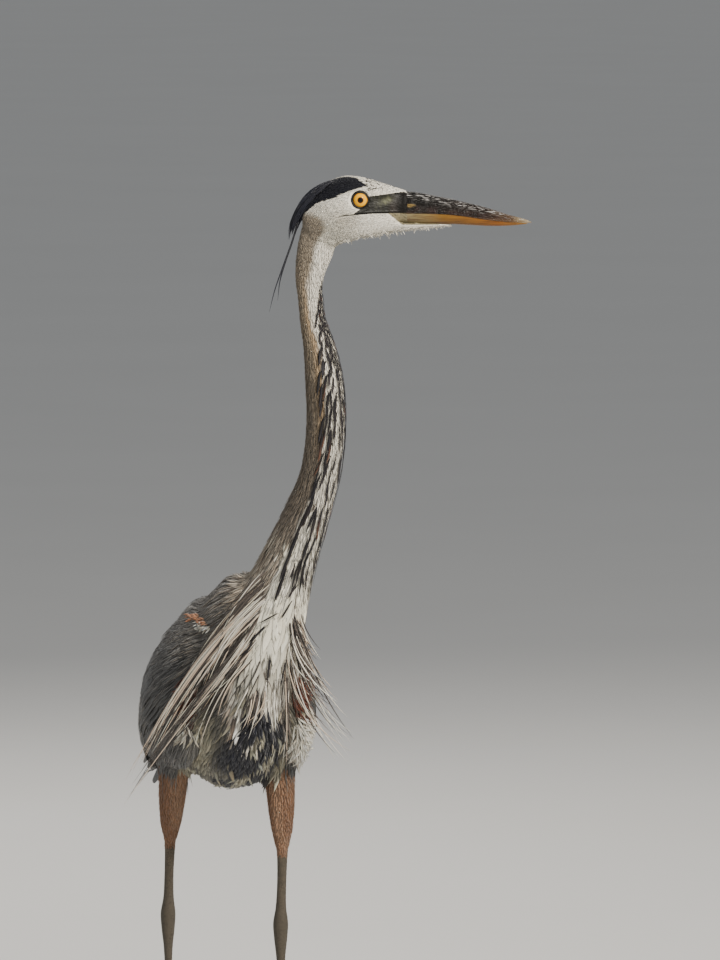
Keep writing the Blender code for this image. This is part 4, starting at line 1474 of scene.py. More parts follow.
def neck_colour(points, around):
    past = neck_brown(points, around)
    z = points[:, 2]
    tan = hill(past - 12, 15) * between(z, 0.69, 0.77, 0.84, 0.905)
    brown = blend(0.75 * tan, brown_of_neck(points), TAN)
    back = smooth(past, 55, 110)
    brown = blend(0.25 * back, brown, SLATE)
    soft = np.interp(z, [0.76, 0.82, 0.88], [5, 14, 26])
    grain = ripple(points, 0.0016, 14) * soft * 0.35
    share = smooth((past + grain) / soft, -1, 1)
    share = share + smooth(z, 0.872, 0.9) * (nape_brown(points) - share)
    return blend(share, WHITE, brown)


def top_of_trunk(normals, z):
    """1 where the trunk faces up or lies high, 0 on the belly."""
    return smooth(normals[:, 2] + 8 * (z - 0.47), -0.3, 0.3)


def trunk_colour(points, normals):
    ahead, out, z = body_places(points)
    ragged = ripple(points * (1, 1, 0.35), 0.02, 6)
    side = smooth(np.abs(out - 0.006) + ragged * 0.012, 0.022, 0.044)
    under_bib = smooth(z, 0.415, 0.45)
    belly = blend(0.72 * side * (1 - 0.6 * under_bib), BLACK * 1.6, OLIVE_WHITE)
    belly = blend(0.9 * smooth(ragged, 0.45, 0.8), belly, OLIVE_WHITE)
    belly = blend(0.8 * side * smooth(-ragged, 0.3, 0.75), belly, BLACK * 2)
    vent = smooth(-ahead, 0.02, 0.1)
    belly = blend(vent, belly, OFF_WHITE * 0.8)
    return blend(top_of_trunk(normals, z), belly, BACK_BROWN)


def wing_colour(points):
    ahead, out, z = body_places(points)
    shoulder = smooth(z, 0.47, 0.54) * smooth(ahead, -0.12, 0.02)
    colour = blend(0.75 * shoulder, SLATE, SHOULDER_BROWN)
    colour = colour * (1 + 0.16 * ripple(points, 0.03, 7))[:, None]
    left = out > 0
    rear = smooth(-ahead, 0.12, 0.26) * smooth(-z, -0.4, -0.35)
    colour = blend(0.6 * rear, colour, SLATE * 0.42)
    out = np.abs(out)
    front = smooth(ahead, 0.068, 0.078)
    patch = front * between(z, 0.408, 0.418, 0.44, 0.452) * smooth(-out, -0.068, -0.06)
    colour = blend(patch, colour, CHESTNUT)
    strip = front * smooth(-z, -0.428, -0.418) * smooth(z, 0.355, 0.366) * smooth(-out, -0.066, -0.059)
    strip = strip * np.where(left, 1.0, 0.12)
    return blend(strip, colour, OFF_WHITE)


def thigh_colour(points):
    patch = smooth(ripple(points * (1, 1, 0.4), 0.016, 8), -0.2, 0.9)
    return blend(0.55 * patch, RUST, PALE_RUST)


def leg_colour(points):
    upper = smooth(points[:, 2], 0.2, 0.275)
    mottled = smooth(ripple(points, 0.007, 9), -0.6, 0.8)
    return blend(0.35 + 0.4 * upper * mottled, SCALE_DARK, SCALE_BROWN)


def markings(points, normals, part, around):
    """The colour of the plumage, or of the bare skin of the leg, at each point."""
    colour = np.empty((len(points), 3))
    rules = {
        HEAD: lambda k: head_colour(points[k]),
        NECK_PART: lambda k: neck_colour(points[k], around[k]),
        TRUNK: lambda k: trunk_colour(points[k], normals[k]),
        WING_RIGHT: lambda k: wing_colour(points[k]),
        WING_LEFT: lambda k: wing_colour(points[k]),
        TAIL: lambda k: SLATE,
        THIGH_RIGHT: lambda k: thigh_colour(points[k]),
        THIGH_LEFT: lambda k: thigh_colour(points[k]),
        LEG: lambda k: leg_colour(points[k]),
    }
    for number, rule in rules.items():
        here = np.flatnonzero(part == number)
        colour[here] = rule(here)
    return colour


# %% [markdown]
# ## The feathers' finish
# A feather is matt, with a faint sheen from the side. Its barbs run out and forward from the shaft and part
# here and there. As real shape they would be far too many, so the finish draws them. It reads each vane's
# own measures, so they follow every feather.

# %% The feathers' finish


def plumage(name, roughness, sheen, contrast):
    finish = Finish(name, Sheen_Weight=sheen, Sheen_Roughness=0.45, Specular_IOR_Level=0.28)
    tint = finish.attribute("tint")[0]
    along, across, kind = finish.apart(finish.attribute("vane")[1])
    slope = along - across.size() * 1.4
    barbs = (slope * 10.5 + kind * 40.0).wave()
    lane = finish.node("ShaderNodeCombineXYZ", None, {0: slope * 0.9, 1: kind * 90.0, 2: across * 0.25})[0]
    parting = finish.noise(lane, 1.0, 2.0)
    shaft = 1 - across.size().step(0.04, 0.16)
    light = 0.92 + (parting - 0.5) * contrast + barbs * 0.1 * 0.5 + (kind - 0.5) * 0.16 + shaft * 0.05
    colour = finish.scale(tint, light)
    rough = roughness + (parting - 0.5) * 0.2
    bump = finish.bump(barbs * 0.4 + parting * 2.0 + shaft * 1.5, 0.00012, 0.6)
    return finish.feed(Base_Color=colour, Roughness=rough, Normal=bump)


soft_plumage = plumage("soft_plumage", 0.8, 0.16, 0.28)
silky_plumage = plumage("silky_plumage", 0.58, 0.16, 0.55)
glossy_plumage = plumage("glossy_plumage", 0.45, 0.08, 0.5)
dark_plumage = plumage("dark_plumage", 0.55, 0.02, 0.6)

# %% [markdown]
# The skin's finish is the markings again, a little darker as painted shade, because only deep gaps show it.
# Its bare parts differ: the lore is dark, wrinkled and patched with olive, and the leg is scaly. Separate
# materials would meet in hard edges, so it's one finish that reads how bare the skin is.

# %% The skin's finish
skin_bare = (skin_part == HEAD) & bare_face(skin_points)
skin_leg = skin_part == LEG


def paint_skin():
    # painted shade: the markings a little darker, for the deep gaps between feathers where the skin shows
    colour = 0.9 * markings(skin_points, skin_normals, skin_part, neck_around)
    x, _, z = from_eye(skin_points)
    blotch = hill(x - 0.0275, 0.0062) * hill(z + 0.001 - 0.15 * (x - 0.0275), 0.0032)
    mottle = smooth(ripple(skin_points, 0.0024, 12), -0.3, 0.7)
    olive = np.clip(blotch * 1.2 * (0.45 + 0.55 * mottle) + 0.06 * mottle * smooth(x, 0.01, 0.016), 0, 1)
    face = blend(0.85 * olive, LORE_DARK, LORE_OLIVE)
    brown = smooth(x, 0.026, 0.038) * smooth(-z, -0.002, 0.006)
    face = blend(0.5 * brown, face, LORE_BROWN)
    face = blend(smooth(x, 0.026, 0.042), face, 0.45 * HORN_DARK)
    horn = blend(smooth(ripple(skin_points, 0.0018, 13), 0.1, 0.9), HORN_OLIVE, 0.45 * HORN_OLIVE)
    face = blend(spread(bare_horn(skin_points).astype(float), 1), face, horn)
    bare = spread(skin_bare.astype(float), 2)
    colour = blend(smooth(bare, 0.3, 0.7), colour, face)
    # painted shadow: a dark line along the groove of the mouth
    mouth = hill(line_gap(x, z, MOUTH_LINE), 0.0006) * smooth(x, -0.03, -0.006) * (np.abs(z) < 0.03)
    colour = colour * (1 - 0.85 * mouth * (np.abs(x) < 0.06))[:, None]
    colour[skin_leg] = leg_colour(skin_points[skin_leg])
    rgba = np.column_stack([colour, np.ones(len(colour))])
    skin.data.attributes.new("tint", "FLOAT_COLOR", "POINT").data.foreach_set("color", rgba.ravel())
    masks = np.column_stack([bare, spread(skin_leg.astype(float), 1), np.zeros(len(colour))])
    skin.data.attributes.new("bare", "FLOAT_VECTOR", "POINT").data.foreach_set("vector", masks.ravel())


def skin_finish():
    finish = Finish("skin", Specular_IOR_Level=0.18)
    where = finish.place()
    tint = finish.attribute("tint")[0]
    face, leg, _ = finish.apart(finish.attribute("bare")[1])
    wrinkle = finish.noise(finish.stretch(where, (260.0, 500.0, 620.0)), 1.0, 4.0)
    to_edge = {"feature": "DISTANCE_TO_EDGE"}
    cells = finish.node("ShaderNodeTexVoronoi", to_edge, {"Vector": where, "Scale": 620.0})
    seam = cells[0].step(0.0, 0.16)
    fine = finish.noise(where, 900.0, 2.0)
    height = face * wrinkle * 2.2 + leg * seam * 0.8 + fine * 0.35
    light = 1 + face * (wrinkle - 0.5) * 1.3 + leg * (seam - 0.8) * 0.6 + (fine - 0.5) * 0.25
    rough = 0.8 - face * 0.36 - leg * 0.28 + (fine - 0.5) * 0.2
    return finish.feed(
        Base_Color=finish.scale(tint, light),
        Roughness=rough,
        Normal=finish.bump(height, 0.0003, 0.8),
    )


paint_skin()
skin.data.shade_smooth()
skin.data.materials.clear()
finish_piece(skin, skin_finish(), "body_feathers", *FLESH_NODES)

# %% [markdown]
# ## The coat
# The first tracts cover everything with short feathers: head, neck, breast, wings, thighs and the root of
# the tail. Even rows would look woven, so the roots are scattered, as far apart as the fields above say.
# The crown's black feathers are a piece of their own, and fine pale hairs lie over the small feathers of
# each wing.

# %% Dressing a tract


def colours_at(tract, beyond=0.35):
    """The markings under each feather of a tract, a little way from its root to its tip."""
    points = tract.paths[:, 0] * (1 - beyond) + tract.paths[:, -1] * beyond
    _, around = neck_places(points)
    return markings(points, tract.normals[:, 0], face_part[tract.faces], around), around, points


def varied(colours, amount, count=None):
    """Colours that differ a little from feather to feather, in light and in warmth."""
    colours = as_rows(colours, count or len(colours))
    light = np.exp(chance.normal(0, amount, len(colours)))[:, None]
    warm = chance.normal(0, amount * 0.25, len(colours))[:, None] * np.array([1.0, 0.0, -1.0])
    return np.clip(colours * light * (1 + warm), 0.004, 0.85)


def in_parts(*numbers):
    return np.isin(face_part, numbers)


face_middles = corner_points.mean(axis=1)
feathered = ~((face_part == HEAD) & bare_face(face_middles, 0.0004)) & (face_part != LEG)


# %% Head and neck


def dress_head():
    inside_bill = face_middles[:, 0] > EYE[0] + BILL_START
    tract = tract_over(in_parts(HEAD) & feathered & ~inside_bill, 1.0, 0.07)
    colour, _, points = colours_at(tract)
    x, _, z = from_eye(points)
    fleck = (x > 0.008) & (x < 0.038) & (z > 0.0095) & (chance.random(len(x)) < 0.42)
    colour[fleck] *= 0.09
    dark = (colour.sum(axis=1) < 0.1) & ~fleck
    tip = np.where(dark[:, None], colour * 1.8, np.minimum(colour * 1.08, 0.85))
    tract.coloured(varied(colour * 0.84, 0.05), varied(tip, 0.06))
    white, black = tract.chosen(~dark), tract.chosen(dark)
    feather_mesh("head_feathers", white, soft_plumage, "head_feathers", 4, 3, "lancet", 0.28)
    feather_mesh("crown_feathers", black, dark_plumage, "crest_feathers", 4, 3, "lancet", 0.28)


def dress_neck():
    tract = tract_over(in_parts(NECK_PART), 1.0, 0.08)
    ahead, _, z = body_places(tract.places)
    tract.lift *= 1 - 0.6 * smooth(-z, -0.7, -0.62) * smooth(-ahead, -0.02, 0.02)
    colour, around, points = colours_at(tract)
    past = neck_brown(points, around)
    low = smooth(-points[:, 2], -0.66, -0.58)
    streaky = low * smooth(past, -4, 8)
    dark = 1 - 0.5 * streaky[:, None]
    tip = blend(0.22 * streaky, colour, BUFF)
    tract.coloured(
        varied(colour * 0.98 * dark, 0.03),
        varied(tip * (0.5 + 0.5 * dark), 0.04),
        varied(blend(streaky, colour, BUFF * 1.15), 0.1),
        0.75 * streaky,
    )
    feather_mesh("neck_feathers", tract, soft_plumage, "neck_feathers", 4, 3, "lancet", 0.3)


dress_head()
dress_neck()

# %% Trunk, wings, tail root and thighs
WING_HAIRS = 620


def dress_trunk():
    tract = tract_over(in_parts(TRUNK), 0.8, 0.1, 1.1, 0.15)
    tract.lift += 0.0016
    colour, *_ = colours_at(tract, 0.2)
    _, _, z = body_places(tract.places)
    tract.lift *= 1 - 0.7 * smooth(z, 0.52, 0.56)
    wild = blend(top_of_trunk(tract.normals[:, 0], z), 0.24, 0.08)
    dark = np.exp(chance.normal(0, 1, len(colour)) * wild)[:, None]
    tract.half_width *= blend(smooth(wild, 0.1, 0.2), 0.55, 1.0)
    tract.coloured(varied(colour * 0.78, 0.05) * dark, varied(colour * 1.12, 0.06) * dark, colour * 1.3, 0.25)
    feather_mesh("body_feathers", tract, soft_plumage, "body_feathers", 5, 3, "lancet", 0.26)


def dress_wing(side, part):
    tract = tract_over(in_parts(part), 0.86, 0.07)
    colour, *_ = colours_at(tract)
    ahead, _, z = body_places(tract.places)
    tract.lift += 0.0022 * smooth(z, 0.4, 0.5)
    tract.half_width *= 0.68
    silver = (chance.random(len(colour)) < 0.16) * (0.3 + 0.5 * smooth(ahead, -0.16, 0.0))
    tip = blend(0.45 * silver, colour * 1.12, PALE_SLATE)
    tract.coloured(varied(colour * 0.85, 0.08), varied(tip, 0.1), colour * 1.35, 0.3)
    feather_mesh(f"wing_feathers_{side}", tract, silky_plumage, "wing_feathers", 4, 3, "lancet", 0.24)


def dress_wing_hairs(side, part):
    """Long fine pale strands over the small feathers of a wing."""
    roots = scatter(in_parts(part), 2.0)[0][:WING_HAIRS]
    count = len(roots)
    length = chance.uniform(0.024, 0.044, count)
    paths, normals = laid_paths(roots, length, 6, chance.normal(-0.06, 0.12, count), 0.06)
    _, _, z = body_places(roots)
    rise = 0.0014 + 0.002 * smooth(z, 0.4, 0.5)
    tract = Feathers(paths + normals * 0.0008, normals, millimetres(0.3, 0.6, count), rise)
    hair = PALE_SLATE * 1.1
    tract.coloured(varied(hair * 0.7, 0.2, count), varied(hair, 0.2, count))
    sway = chance.normal(0, 0.0016, count)
    loose_feathers(f"wing_hairs_{side}", tract, silky_plumage, "wing_feathers", 8, 3, "strand", 0.4, sway)


def dress_thigh(side, part):
    tract = tract_over(in_parts(part), 1.0, 0.12)
    colour, *_ = colours_at(tract)
    tract.coloured(varied(colour * 0.8, 0.1), varied(colour * 1.15, 0.14))
    feather_mesh(f"thigh_feathers_{side}", tract, soft_plumage, "thigh_feathers", 4, 3, "lancet", 0.28)


def dress_tail_root():
    tract = tract_over(in_parts(TAIL), 1.0, 0.06)
    colour, *_ = colours_at(tract)
    tract.coloured(varied(colour * 0.85, 0.08), varied(colour * 1.15, 0.08), colour * 1.5, 0.3)
    feather_mesh("tail_coverts", tract, silky_plumage, "tail_feathers", 6, 5, "tile", 0.16)


dress_trunk()
for wing_side, wing_part in (("right", WING_RIGHT), ("left", WING_LEFT)):
    dress_wing(wing_side, wing_part)
    dress_wing_hairs(wing_side, wing_part)
dress_thigh("right", THIGH_RIGHT)
dress_thigh("left", THIGH_LEFT)
dress_tail_root()

# %% [markdown]
# ## Dark streaks of the foreneck
# The white foreneck carries broken rows of dark, pointed streaks. They could be a part of the markings, but
# on the bird each is one dark feather, so here they're feathers too, laid over the white coat. They stand
# in fourteen columns, closer in the two that border the brown, and lean towards the middle above and away
# from it below.

# %% Places on the neck


def neck_spots(heights, degrees):
    """Places on the skin of the neck, from their height and how far round from the throat they are."""
    order = np.argsort(NECK_ROWS[:, 2])
    share = np.interp(heights, NECK_ROWS[order, 2], NECK_SHARES[order])
    middle, wide, deep, _, throat, across = neck_frames(share)
    turn = np.radians(degrees)[:, None]
    off = throat * np.cos(turn) * deep[:, None] + across * np.sin(turn) * wide[:, None]
    return on_skin(middle + off)[0]


def streak_places():
    """Heights, turns from the throat, lengths, half widths and leans of the streaks."""
    heights = [0.58, 0.65, 0.72, 0.79, 0.84, 0.885]
    spots = []
    for column in np.linspace(-1, 1, 14):
        z = 0.889 - 0.03 * abs(column) - chance.uniform(0, 0.01)
        border = abs(column) > 0.95
        while z > 0.585:
            reach = np.interp(z, heights, [46, 50, 50, 52, 24, 8])
            length = np.interp(z, heights, [38, 36, 32, 22, 11, 5])
            half = np.interp(z, heights, [1.4, 1.3, 1.25, 1.05, 0.62, 0.28])
            lean = np.interp(z, heights, [0.1, 0.0, -0.12, -0.42, -0.4, -0.1]) * column
            there = chance.random() < np.interp(z, heights, [0.26, 0.44, 0.9, 1.0, 0.9, 0.55])
            if border or there:
                at = column * reach + chance.normal(0, 2.6)
                wide = half * (1.25 if border else 1.0) * chance.uniform(0.65, 1.25)
                spots.append((z, at, length * chance.uniform(0.75, 1.3), wide, lean + chance.normal(0, 0.1)))
            z -= length * (0.6 if border else 0.72) * chance.uniform(0.75, 1.2) / 1000
    return np.array(spots)


def dress_streaks():
    z, turn, length, half, lean = streak_places().T
    roots = neck_spots(z, turn)
    paths, normals = laid_paths(roots, length / 1000, 5, lean)
    paths = paths + normals * np.interp(z, [0.6, 0.75, 0.87], [0.003, 0.002, 0.001])[:, None, None]
    count = len(z)
    tract = Feathers(paths, normals, half / 1000, millimetres(0.8, 1.5, count))
    rusty = chance.random(count)[:, None] < 0.1
    tip = np.where(rusty, STREAK_RUST, STREAK_DARK)
    tract.coloured(varied(STREAK_ROOT, 0.15, count), varied(tip, 0.25))
    sway = chance.normal(0, 1, count) * np.interp(z, [0.6, 0.75, 0.87], [0.0022, 0.0014, 0.0003])
    shape = (9, 3, "streak", 0.26, -0.0006, 0.0, sway)
    feather_mesh("foreneck_streaks", tract, dark_plumage, "neck_feathers", *shape)


dress_streaks()

# %% [markdown]
# ## Long feathers of the lower neck
# Low on the neck the feathers grow long and narrow, some grey-brown and some pale. A whole coat of them
# would hide itself, so they're single strands laid over the short feathers. They hang past one another over
# the shoulders and end at the white bib, which none of them may cross.

# %% Neck strands


def in_bib(x, z):
    """Whether places, given as x and z in the plan, lie in the white bib."""
    left = np.interp(z, [0.44, 0.47, 0.5, 0.53, 0.57, 0.61], [0.006, 0.008, 0.013, 0.029, 0.047, 0.059])
    right = np.interp(z, [0.45, 0.48, 0.53, 0.56], [0.06, 0.069, 0.074, 0.078])
    return (x > left) & (x < right) & (z > 0.445)


def dress_strands():
    count = 1500
    z = chance.uniform(0.478, 0.672, count)
    side = np.where(chance.random(count) < 0.5, 1, -1)
    turn = side * chance.uniform(42, 178, count)
    roots = neck_spots(z, turn)
    length = np.interp(z, [0.48, 0.55, 0.62, 0.67], [0.056, 0.068, 0.055, 0.034])
    length *= chance.uniform(0.75, 1.2, count)
    paths, normals = laid_paths(roots, length, 6, chance.normal(0, 0.09, count), 0.12)
    middles, ends = paths[:, 3] - PLAN, paths[:, -1] - PLAN
    in_front = normals[:, 3, 1] < 0.1
    white = (in_bib(middles[:, 0], middles[:, 2]) | in_bib(ends[:, 0], ends[:, 2])) & in_front
    paths, normals = paths[~white], normals[~white]
    count = len(paths)
    pale_one = chance.random(count) < 0.38
    half = np.where(pale_one, chance.uniform(0.4, 0.7, count), chance.uniform(0.7, 1.3, count)) / 1000
    lift = np.where(pale_one, chance.uniform(2.4, 3.8, count), chance.uniform(1.2, 2.6, count)) / 1000
    tract = Feathers(paths, normals, half, lift)
    brown = brown_of_neck(paths[:, 2])
    pale = np.where(chance.random(count)[:, None] < 0.6, BUFF, OFF_WHITE * 0.9)
    colour = np.where(pale_one[:, None], blend(0.8, brown, pale), brown * np.array([0.62, 0.57, 0.53]))
    tract.coloured(varied(colour * 0.85, 0.12), varied(colour, 0.15), varied(colour * 1.15, 0.1), 0.7)
    loose_feathers("neck_strands", tract, silky_plumage, "neck_feathers", 9, 3, "strand", 0.4)


dress_strands()

# %% [markdown]
# ## Breast plumes
# The longest feathers hang from the root of the neck over the breast and beyond the bird's outline. A
# simulation could drop them there, but they lie like threads pulled tight in front of the body, and that
# can be worked out. A ray finds how far forward the body comes along the plume's line, and the lower hull
# of those depths is the thread. Each long plume is a bundle of strands that meet near its tip. Shorter ones
# fill the fan between them, and few may cross the bib.

# %% Breast plumes
PLUMES = in_metres([  # the root's place across and up, the tip's, and the bow to the side
    (400, 5600, -600, 4220, 60),
    (460, 5600, -985, 3590, 120),
    (520, 5350, -1020, 3480, 40),
    (400, 5300, -640, 3960, -40),
    (360, 5100, -300, 3880, 60),
    (340, 5000, -160, 4080, 40),
    (300, 4800, -20, 4150, 30),
    (340, 4600, 190, 4110, -20),
    (480, 4700, 420, 4420, 20),
    (560, 4900, 570, 3870, 20),
    (620, 4800, 650, 3640, 20),
    (740, 5300, 965, 4830, 30),
    (700, 5300, 1130, 4390, 80),
    (720, 5100, 1310, 3970, 100),
    (680, 5000, 1240, 3740, 120),
])
SHORT_STRANDS = 230


def taut(along, depths):
    """The depths of a thread pulled tight in front of a surface: the surface's lower hull."""
    hull = []
    for point in zip(along, depths):
        while len(hull) > 1:
            (a, p), (b, q) = hull[-2:]
            if (q - p) * (point[0] - a) < (point[1] - p) * (b - a):
                break
            hull.pop()
        hull.append(point)
    return np.interp(along, *np.array(hull).T)


def plume_path(root, tip, bow, clear):
    """A path from root to tip, given as x and z in the plan, clear of the body in front."""
    root, tip = np.array(root), np.array(tip)
    run = tip - root
    side = np.array([run[1], -run[0]]) / np.hypot(*run)
    shares = np.linspace(0, 1, 25)
    flat = root + np.outer(shares, run) + np.outer(4 * shares * (1 - shares) * bow, side)
    flat[:, 0] += PLAN[0]
    depths = []
    for x, z in flat:
        hits = [skin_tree.ray_cast((x + dx, -1, z), BACKWARD)[0] for dx in (-0.004, 0, 0.004)]
        depths.append(min([hit.y for hit in hits if hit] or [math.inf]))
    free = min(depths + [PLAN[1]]) + 0.012
    depths = taut(shares, [min(y, free + 0.02) if math.isfinite(y) else free for y in depths])
    depths = depths + np.interp(shares, [0, 0.14, 0.26, 1], [0.002, -0.001, -clear, -clear])
    places = np.linspace(0, 1, 8)
    columns = (flat[:, 0], depths, flat[:, 1])
    return np.column_stack([np.interp(places, shares, column) for column in columns])


def over_bib(rows):
    """Whether a strand would cross the bib."""
    crossing = np.zeros(len(rows), bool)
    for share in (0.45, 0.6, 0.75, 0.9):
        crossing |= in_bib(*((1 - share) * rows[:, :2] + share * rows[:, 2:4]).T)
    return crossing


def plume_strands():
    """Roots, tips, bows and half widths of all the strands: bundles first, then the shorter ones between."""
    rows = []
    for at, row in enumerate(PLUMES):
        for k in range(12 if at < 8 or at > 10 else 7):
            loose = chance.normal(0, 1, 5) * (0.0042, 0.007, 0.0036, 0.005, 0.0032)
            shorter = 1 - 0.045 * k * chance.random()
            root = row[:2] + loose[:2]
            tip = root + (row[2:4] + loose[2:4] - root) * shorter
            rows.append((*root, *tip, row[4] + loose[4], chance.uniform(0.00046, 0.00086)))
    for _ in range(SHORT_STRANDS):
        k = chance.integers(0, 8 if chance.random() < 0.8 else len(PLUMES) - 1)
        row = blend(chance.random(), PLUMES[k], PLUMES[k + 1])
        reach = chance.uniform(0.45, 0.92)
        root = row[:2] + chance.normal(0, 1, 2) * (0.005, 0.01)
        tip = root + (row[2:4] - root) * reach + chance.normal(0, 0.003, 2)
        rows.append((*root, *tip, row[4] + chance.normal(0, 0.003), chance.uniform(0.0004, 0.001)))
    rows = np.array(rows)
    return rows[~over_bib(rows) | (chance.random(len(rows)) < 0.05)]


def dress_plumes():
    rows = plume_strands()
    starts = [(x + PLAN[0], -1, z) for x, z in rows[:, :2]]
    rows = rows[[skin_tree.ray_cast(start, BACKWARD)[0] is not None for start in starts]]
    count = len(rows)
    clear = chance.uniform(0.003, 0.0075, count)
    paths = np.array([plume_path(r[:2], r[2:4], r[4], c) for r, c in zip(rows, clear)])
    run = unit(paths[:, -1] - paths[:, 0])
    front = unit(np.array([0, -1.0, 0]) + run * run[:, 1:2])
    normals = np.repeat(front[:, None], paths.shape[1], axis=1)
    tract = Feathers(paths, normals, rows[:, 5], 0.0)
    pale = (chance.random(count) < np.where(clear > 0.0055, 0.8, 0.18))[:, None]
    tone = np.where(chance.random(count)[:, None] < 0.6, PLUME_CREAM, PLUME_FAWN)
    dusk = np.where(chance.random(count)[:, None] < 0.7, PLUME_DUSK, PLUME_BROWN)
    root = np.where(pale, tone * 0.72, dusk)
    tip = np.where(pale, tone * 1.1, dusk * 1.1)
    tract.coloured(varied(root, 0.14), varied(tip, 0.12), varied(tip * 1.2, 0.08), 0.7)
    sway = chance.normal(0, 0.0026, count)
    loose_feathers("breast_plumes", tract, silky_plumage, "neck_feathers", 18, 3, "strand", 0.42, sway)


dress_plumes()

# %% [markdown]
# ## The bib
# Between the plumes the breast is white. Its feathers are broad and soft, end in points, and spread like a
# fan from the foot of the neck, with some black ones on them. Scattered roots would blur the fan, so they
# stand in rows. Each is a place across and up, and a ray from the front finds the skin there.

# %% The bib
BIB_ORIGIN = np.array([0.075, 0.652])
BIB_ROWS = in_metres([  # height, left edge, right edge, and feathers in the row
    (6127, 671, 798, 6),
    (6008, 622, 785, 7),
    (5871, 563, 770, 8),
    (5733, 520, 768, 9),
    (5595, 475, 775, 10),
    (5457, 430, 795, 11),
    (5309, 330, 730, 13),
    (5161, 250, 705, 13),
    (5023, 200, 680, 12),
    (4895, 180, 560, 8),
    (4777, 150, 360, 4),
], 1)
BIB_STREAKS = in_metres([  # start and end, across and up
    (710, 5870, 670, 5715),
    (781, 5777, 773, 5632),
    (724, 5663, 651, 5529),
    (673, 5477, 579, 5311),
    (538, 5348, 383, 5244),
    (425, 5219, 290, 5074),
    (276, 5012, 172, 4888),
    (140, 4888, 5, 4691),
    (687, 5249, 679, 5042),
    (449, 4918, 417, 4619),
    (600, 4856, 548, 4619),
    (316, 5132, 223, 4935),
])


def from_front(places):
    """Where rays from the front meet the skin, and the skin's normal there. Past the bird's outline the
    nearest skin counts."""
    points, faces = [], []
    for x, z in places:
        start = Vector((x + PLAN[0], PLAN[1] - 0.13, z))
        hit = skin_tree.ray_cast(start - BACKWARD, BACKWARD)
        if not hit[0]:
            hit = skin_tree.find_nearest(start)
        points.append((start.x, hit[0].y, z))
        faces.append(hit[2])
    return np.array(points), face_normals[faces]


def front_feathers(starts, ends, stations, rise):
    """Paths over the breast, from places across and up, held off the skin a little more towards the tip."""
    shares = np.linspace(0, 1, stations)
    places = starts[:, None] * (1 - shares[:, None]) + ends[:, None] * shares[:, None]
    points, normals = from_front(places.reshape(-1, 2))
    points = points.reshape(len(starts), stations, 3)
    normals = unit(normals.reshape(points.shape) + np.array([0, -1.2, 0]))
    depths = np.minimum.accumulate(points[:, ::-1, 1], axis=1)[:, ::-1]
    points[:, :, 1] = blend(0.4, points[:, :, 1], np.minimum(points[:, :, 1], depths + 0.003))
    return points + normals * (rise[:, None] * shares**1.4)[:, :, None], normals


def dress_bib():
    starts = []
    for z, left, right, number in BIB_ROWS:
        count = int(number)
        across = np.linspace(left, right, count) + chance.normal(0, 0.0014, count)
        starts += list(zip(across, z + chance.normal(0, 0.0022, count)))
    starts = np.array(starts)
    count = len(starts)
    fan = unit(starts - BIB_ORIGIN) + chance.normal(0, 0.09, (count, 2))
    length = np.interp(starts[:, 1], [0.46, 0.52, 0.6], [0.04, 0.038, 0.026])
    ends = starts + fan * (length * chance.uniform(0.75, 1.25, count))[:, None]
    paths, normals = front_feathers(starts, ends, 5, chance.uniform(0.001, 0.0026, count))
    rise = 0.0026 * smooth(-starts[:, 1], -0.575, -0.54)
    paths = paths + normals * rise[:, None, None]
    tract = Feathers(paths, normals, millimetres(2.8, 5.0, count), 0.0)
    # painted shade: the bib's lower rows are darker, and each feather is darker at its root
    painted_shade = np.interp(starts[:, 1], [0.475, 0.505, 0.535], [0.5, 0.8, 1.0])[:, None]
    tip = varied(BIB_WHITE, 0.035, count) * painted_shade * (1, 1, 0.96)
    tract.coloured(tip * (0.9, 0.89, 0.86) * painted_shade**0.5, tip, tip * 1.05, 0.3)
    sway = chance.normal(0, 0.0022, count)
    loose_feathers("bib_feathers", tract, soft_plumage, "neck_feathers", 12, 7, "lancet", 0.16, sway)


def dress_bib_streaks():
    split = np.concatenate([BIB_STREAKS + chance.normal(0, 0.0007, BIB_STREAKS.shape) for _ in range(3)])
    count = len(split)
    starts, ends = split[:, :2], split[:, 2:]
    paths, normals = front_feathers(starts, starts + (ends - starts) * 1.12, 5, np.full(count, 0.002))
    tract = Feathers(paths + normals * 0.0068, normals, millimetres(0.5, 0.95, count), 0.0)
    tract.coloured(varied(SOOT, 0.2, count), varied(SOOT * 1.3, 0.2, count))
    sway = chance.normal(0, 0.001, count)
    loose_feathers("bib_streaks", tract, dark_plumage, "neck_feathers", 8, 3, "streak", 0.3, sway)


dress_bib()
dress_bib_streaks()

# %% [markdown]
# ## Chestnut and white at the front of the wings
# The bend of each wing shows chestnut with white below it, half hidden by the plumes. A rufous tuft and
# some white curls break the slate higher up. Colour in the coat alone would look flat, so all of them are
# small loose feathers that stand off it.

# %% Patches of colour
PATCHES = [  # middle across and up, half size across and up, feathers, length, colours
    ((0.0735, 0.4500), (0.0080, 0.0250), 110, 0.017, CHESTNUT * 0.45, CHESTNUT * 0.80),
    ((0.0765, 0.4000), (0.0060, 0.0250), 150, 0.019, OFF_WHITE, WHITE),
    ((-0.0360, 0.4460), (0.0080, 0.0170), 60, 0.015, CHESTNUT * 0.45, CHESTNUT * 0.80),
    ((-0.0410, 0.4110), (0.0060, 0.0120), 24, 0.015, OFF_WHITE * 0.4, OFF_WHITE * 0.8),
    ((-0.0265, 0.5200), (0.0095, 0.0030), 42, 0.007, RUST * 1.4, RUFOUS),
    ((-0.0215, 0.5150), (0.0065, 0.0035), 26, 0.008, OFF_WHITE * 0.6, WHITE),
    ((0.0800, 0.5130), (0.0060, 0.0022), 16, 0.013, OFF_WHITE * 0.9, WHITE),
]


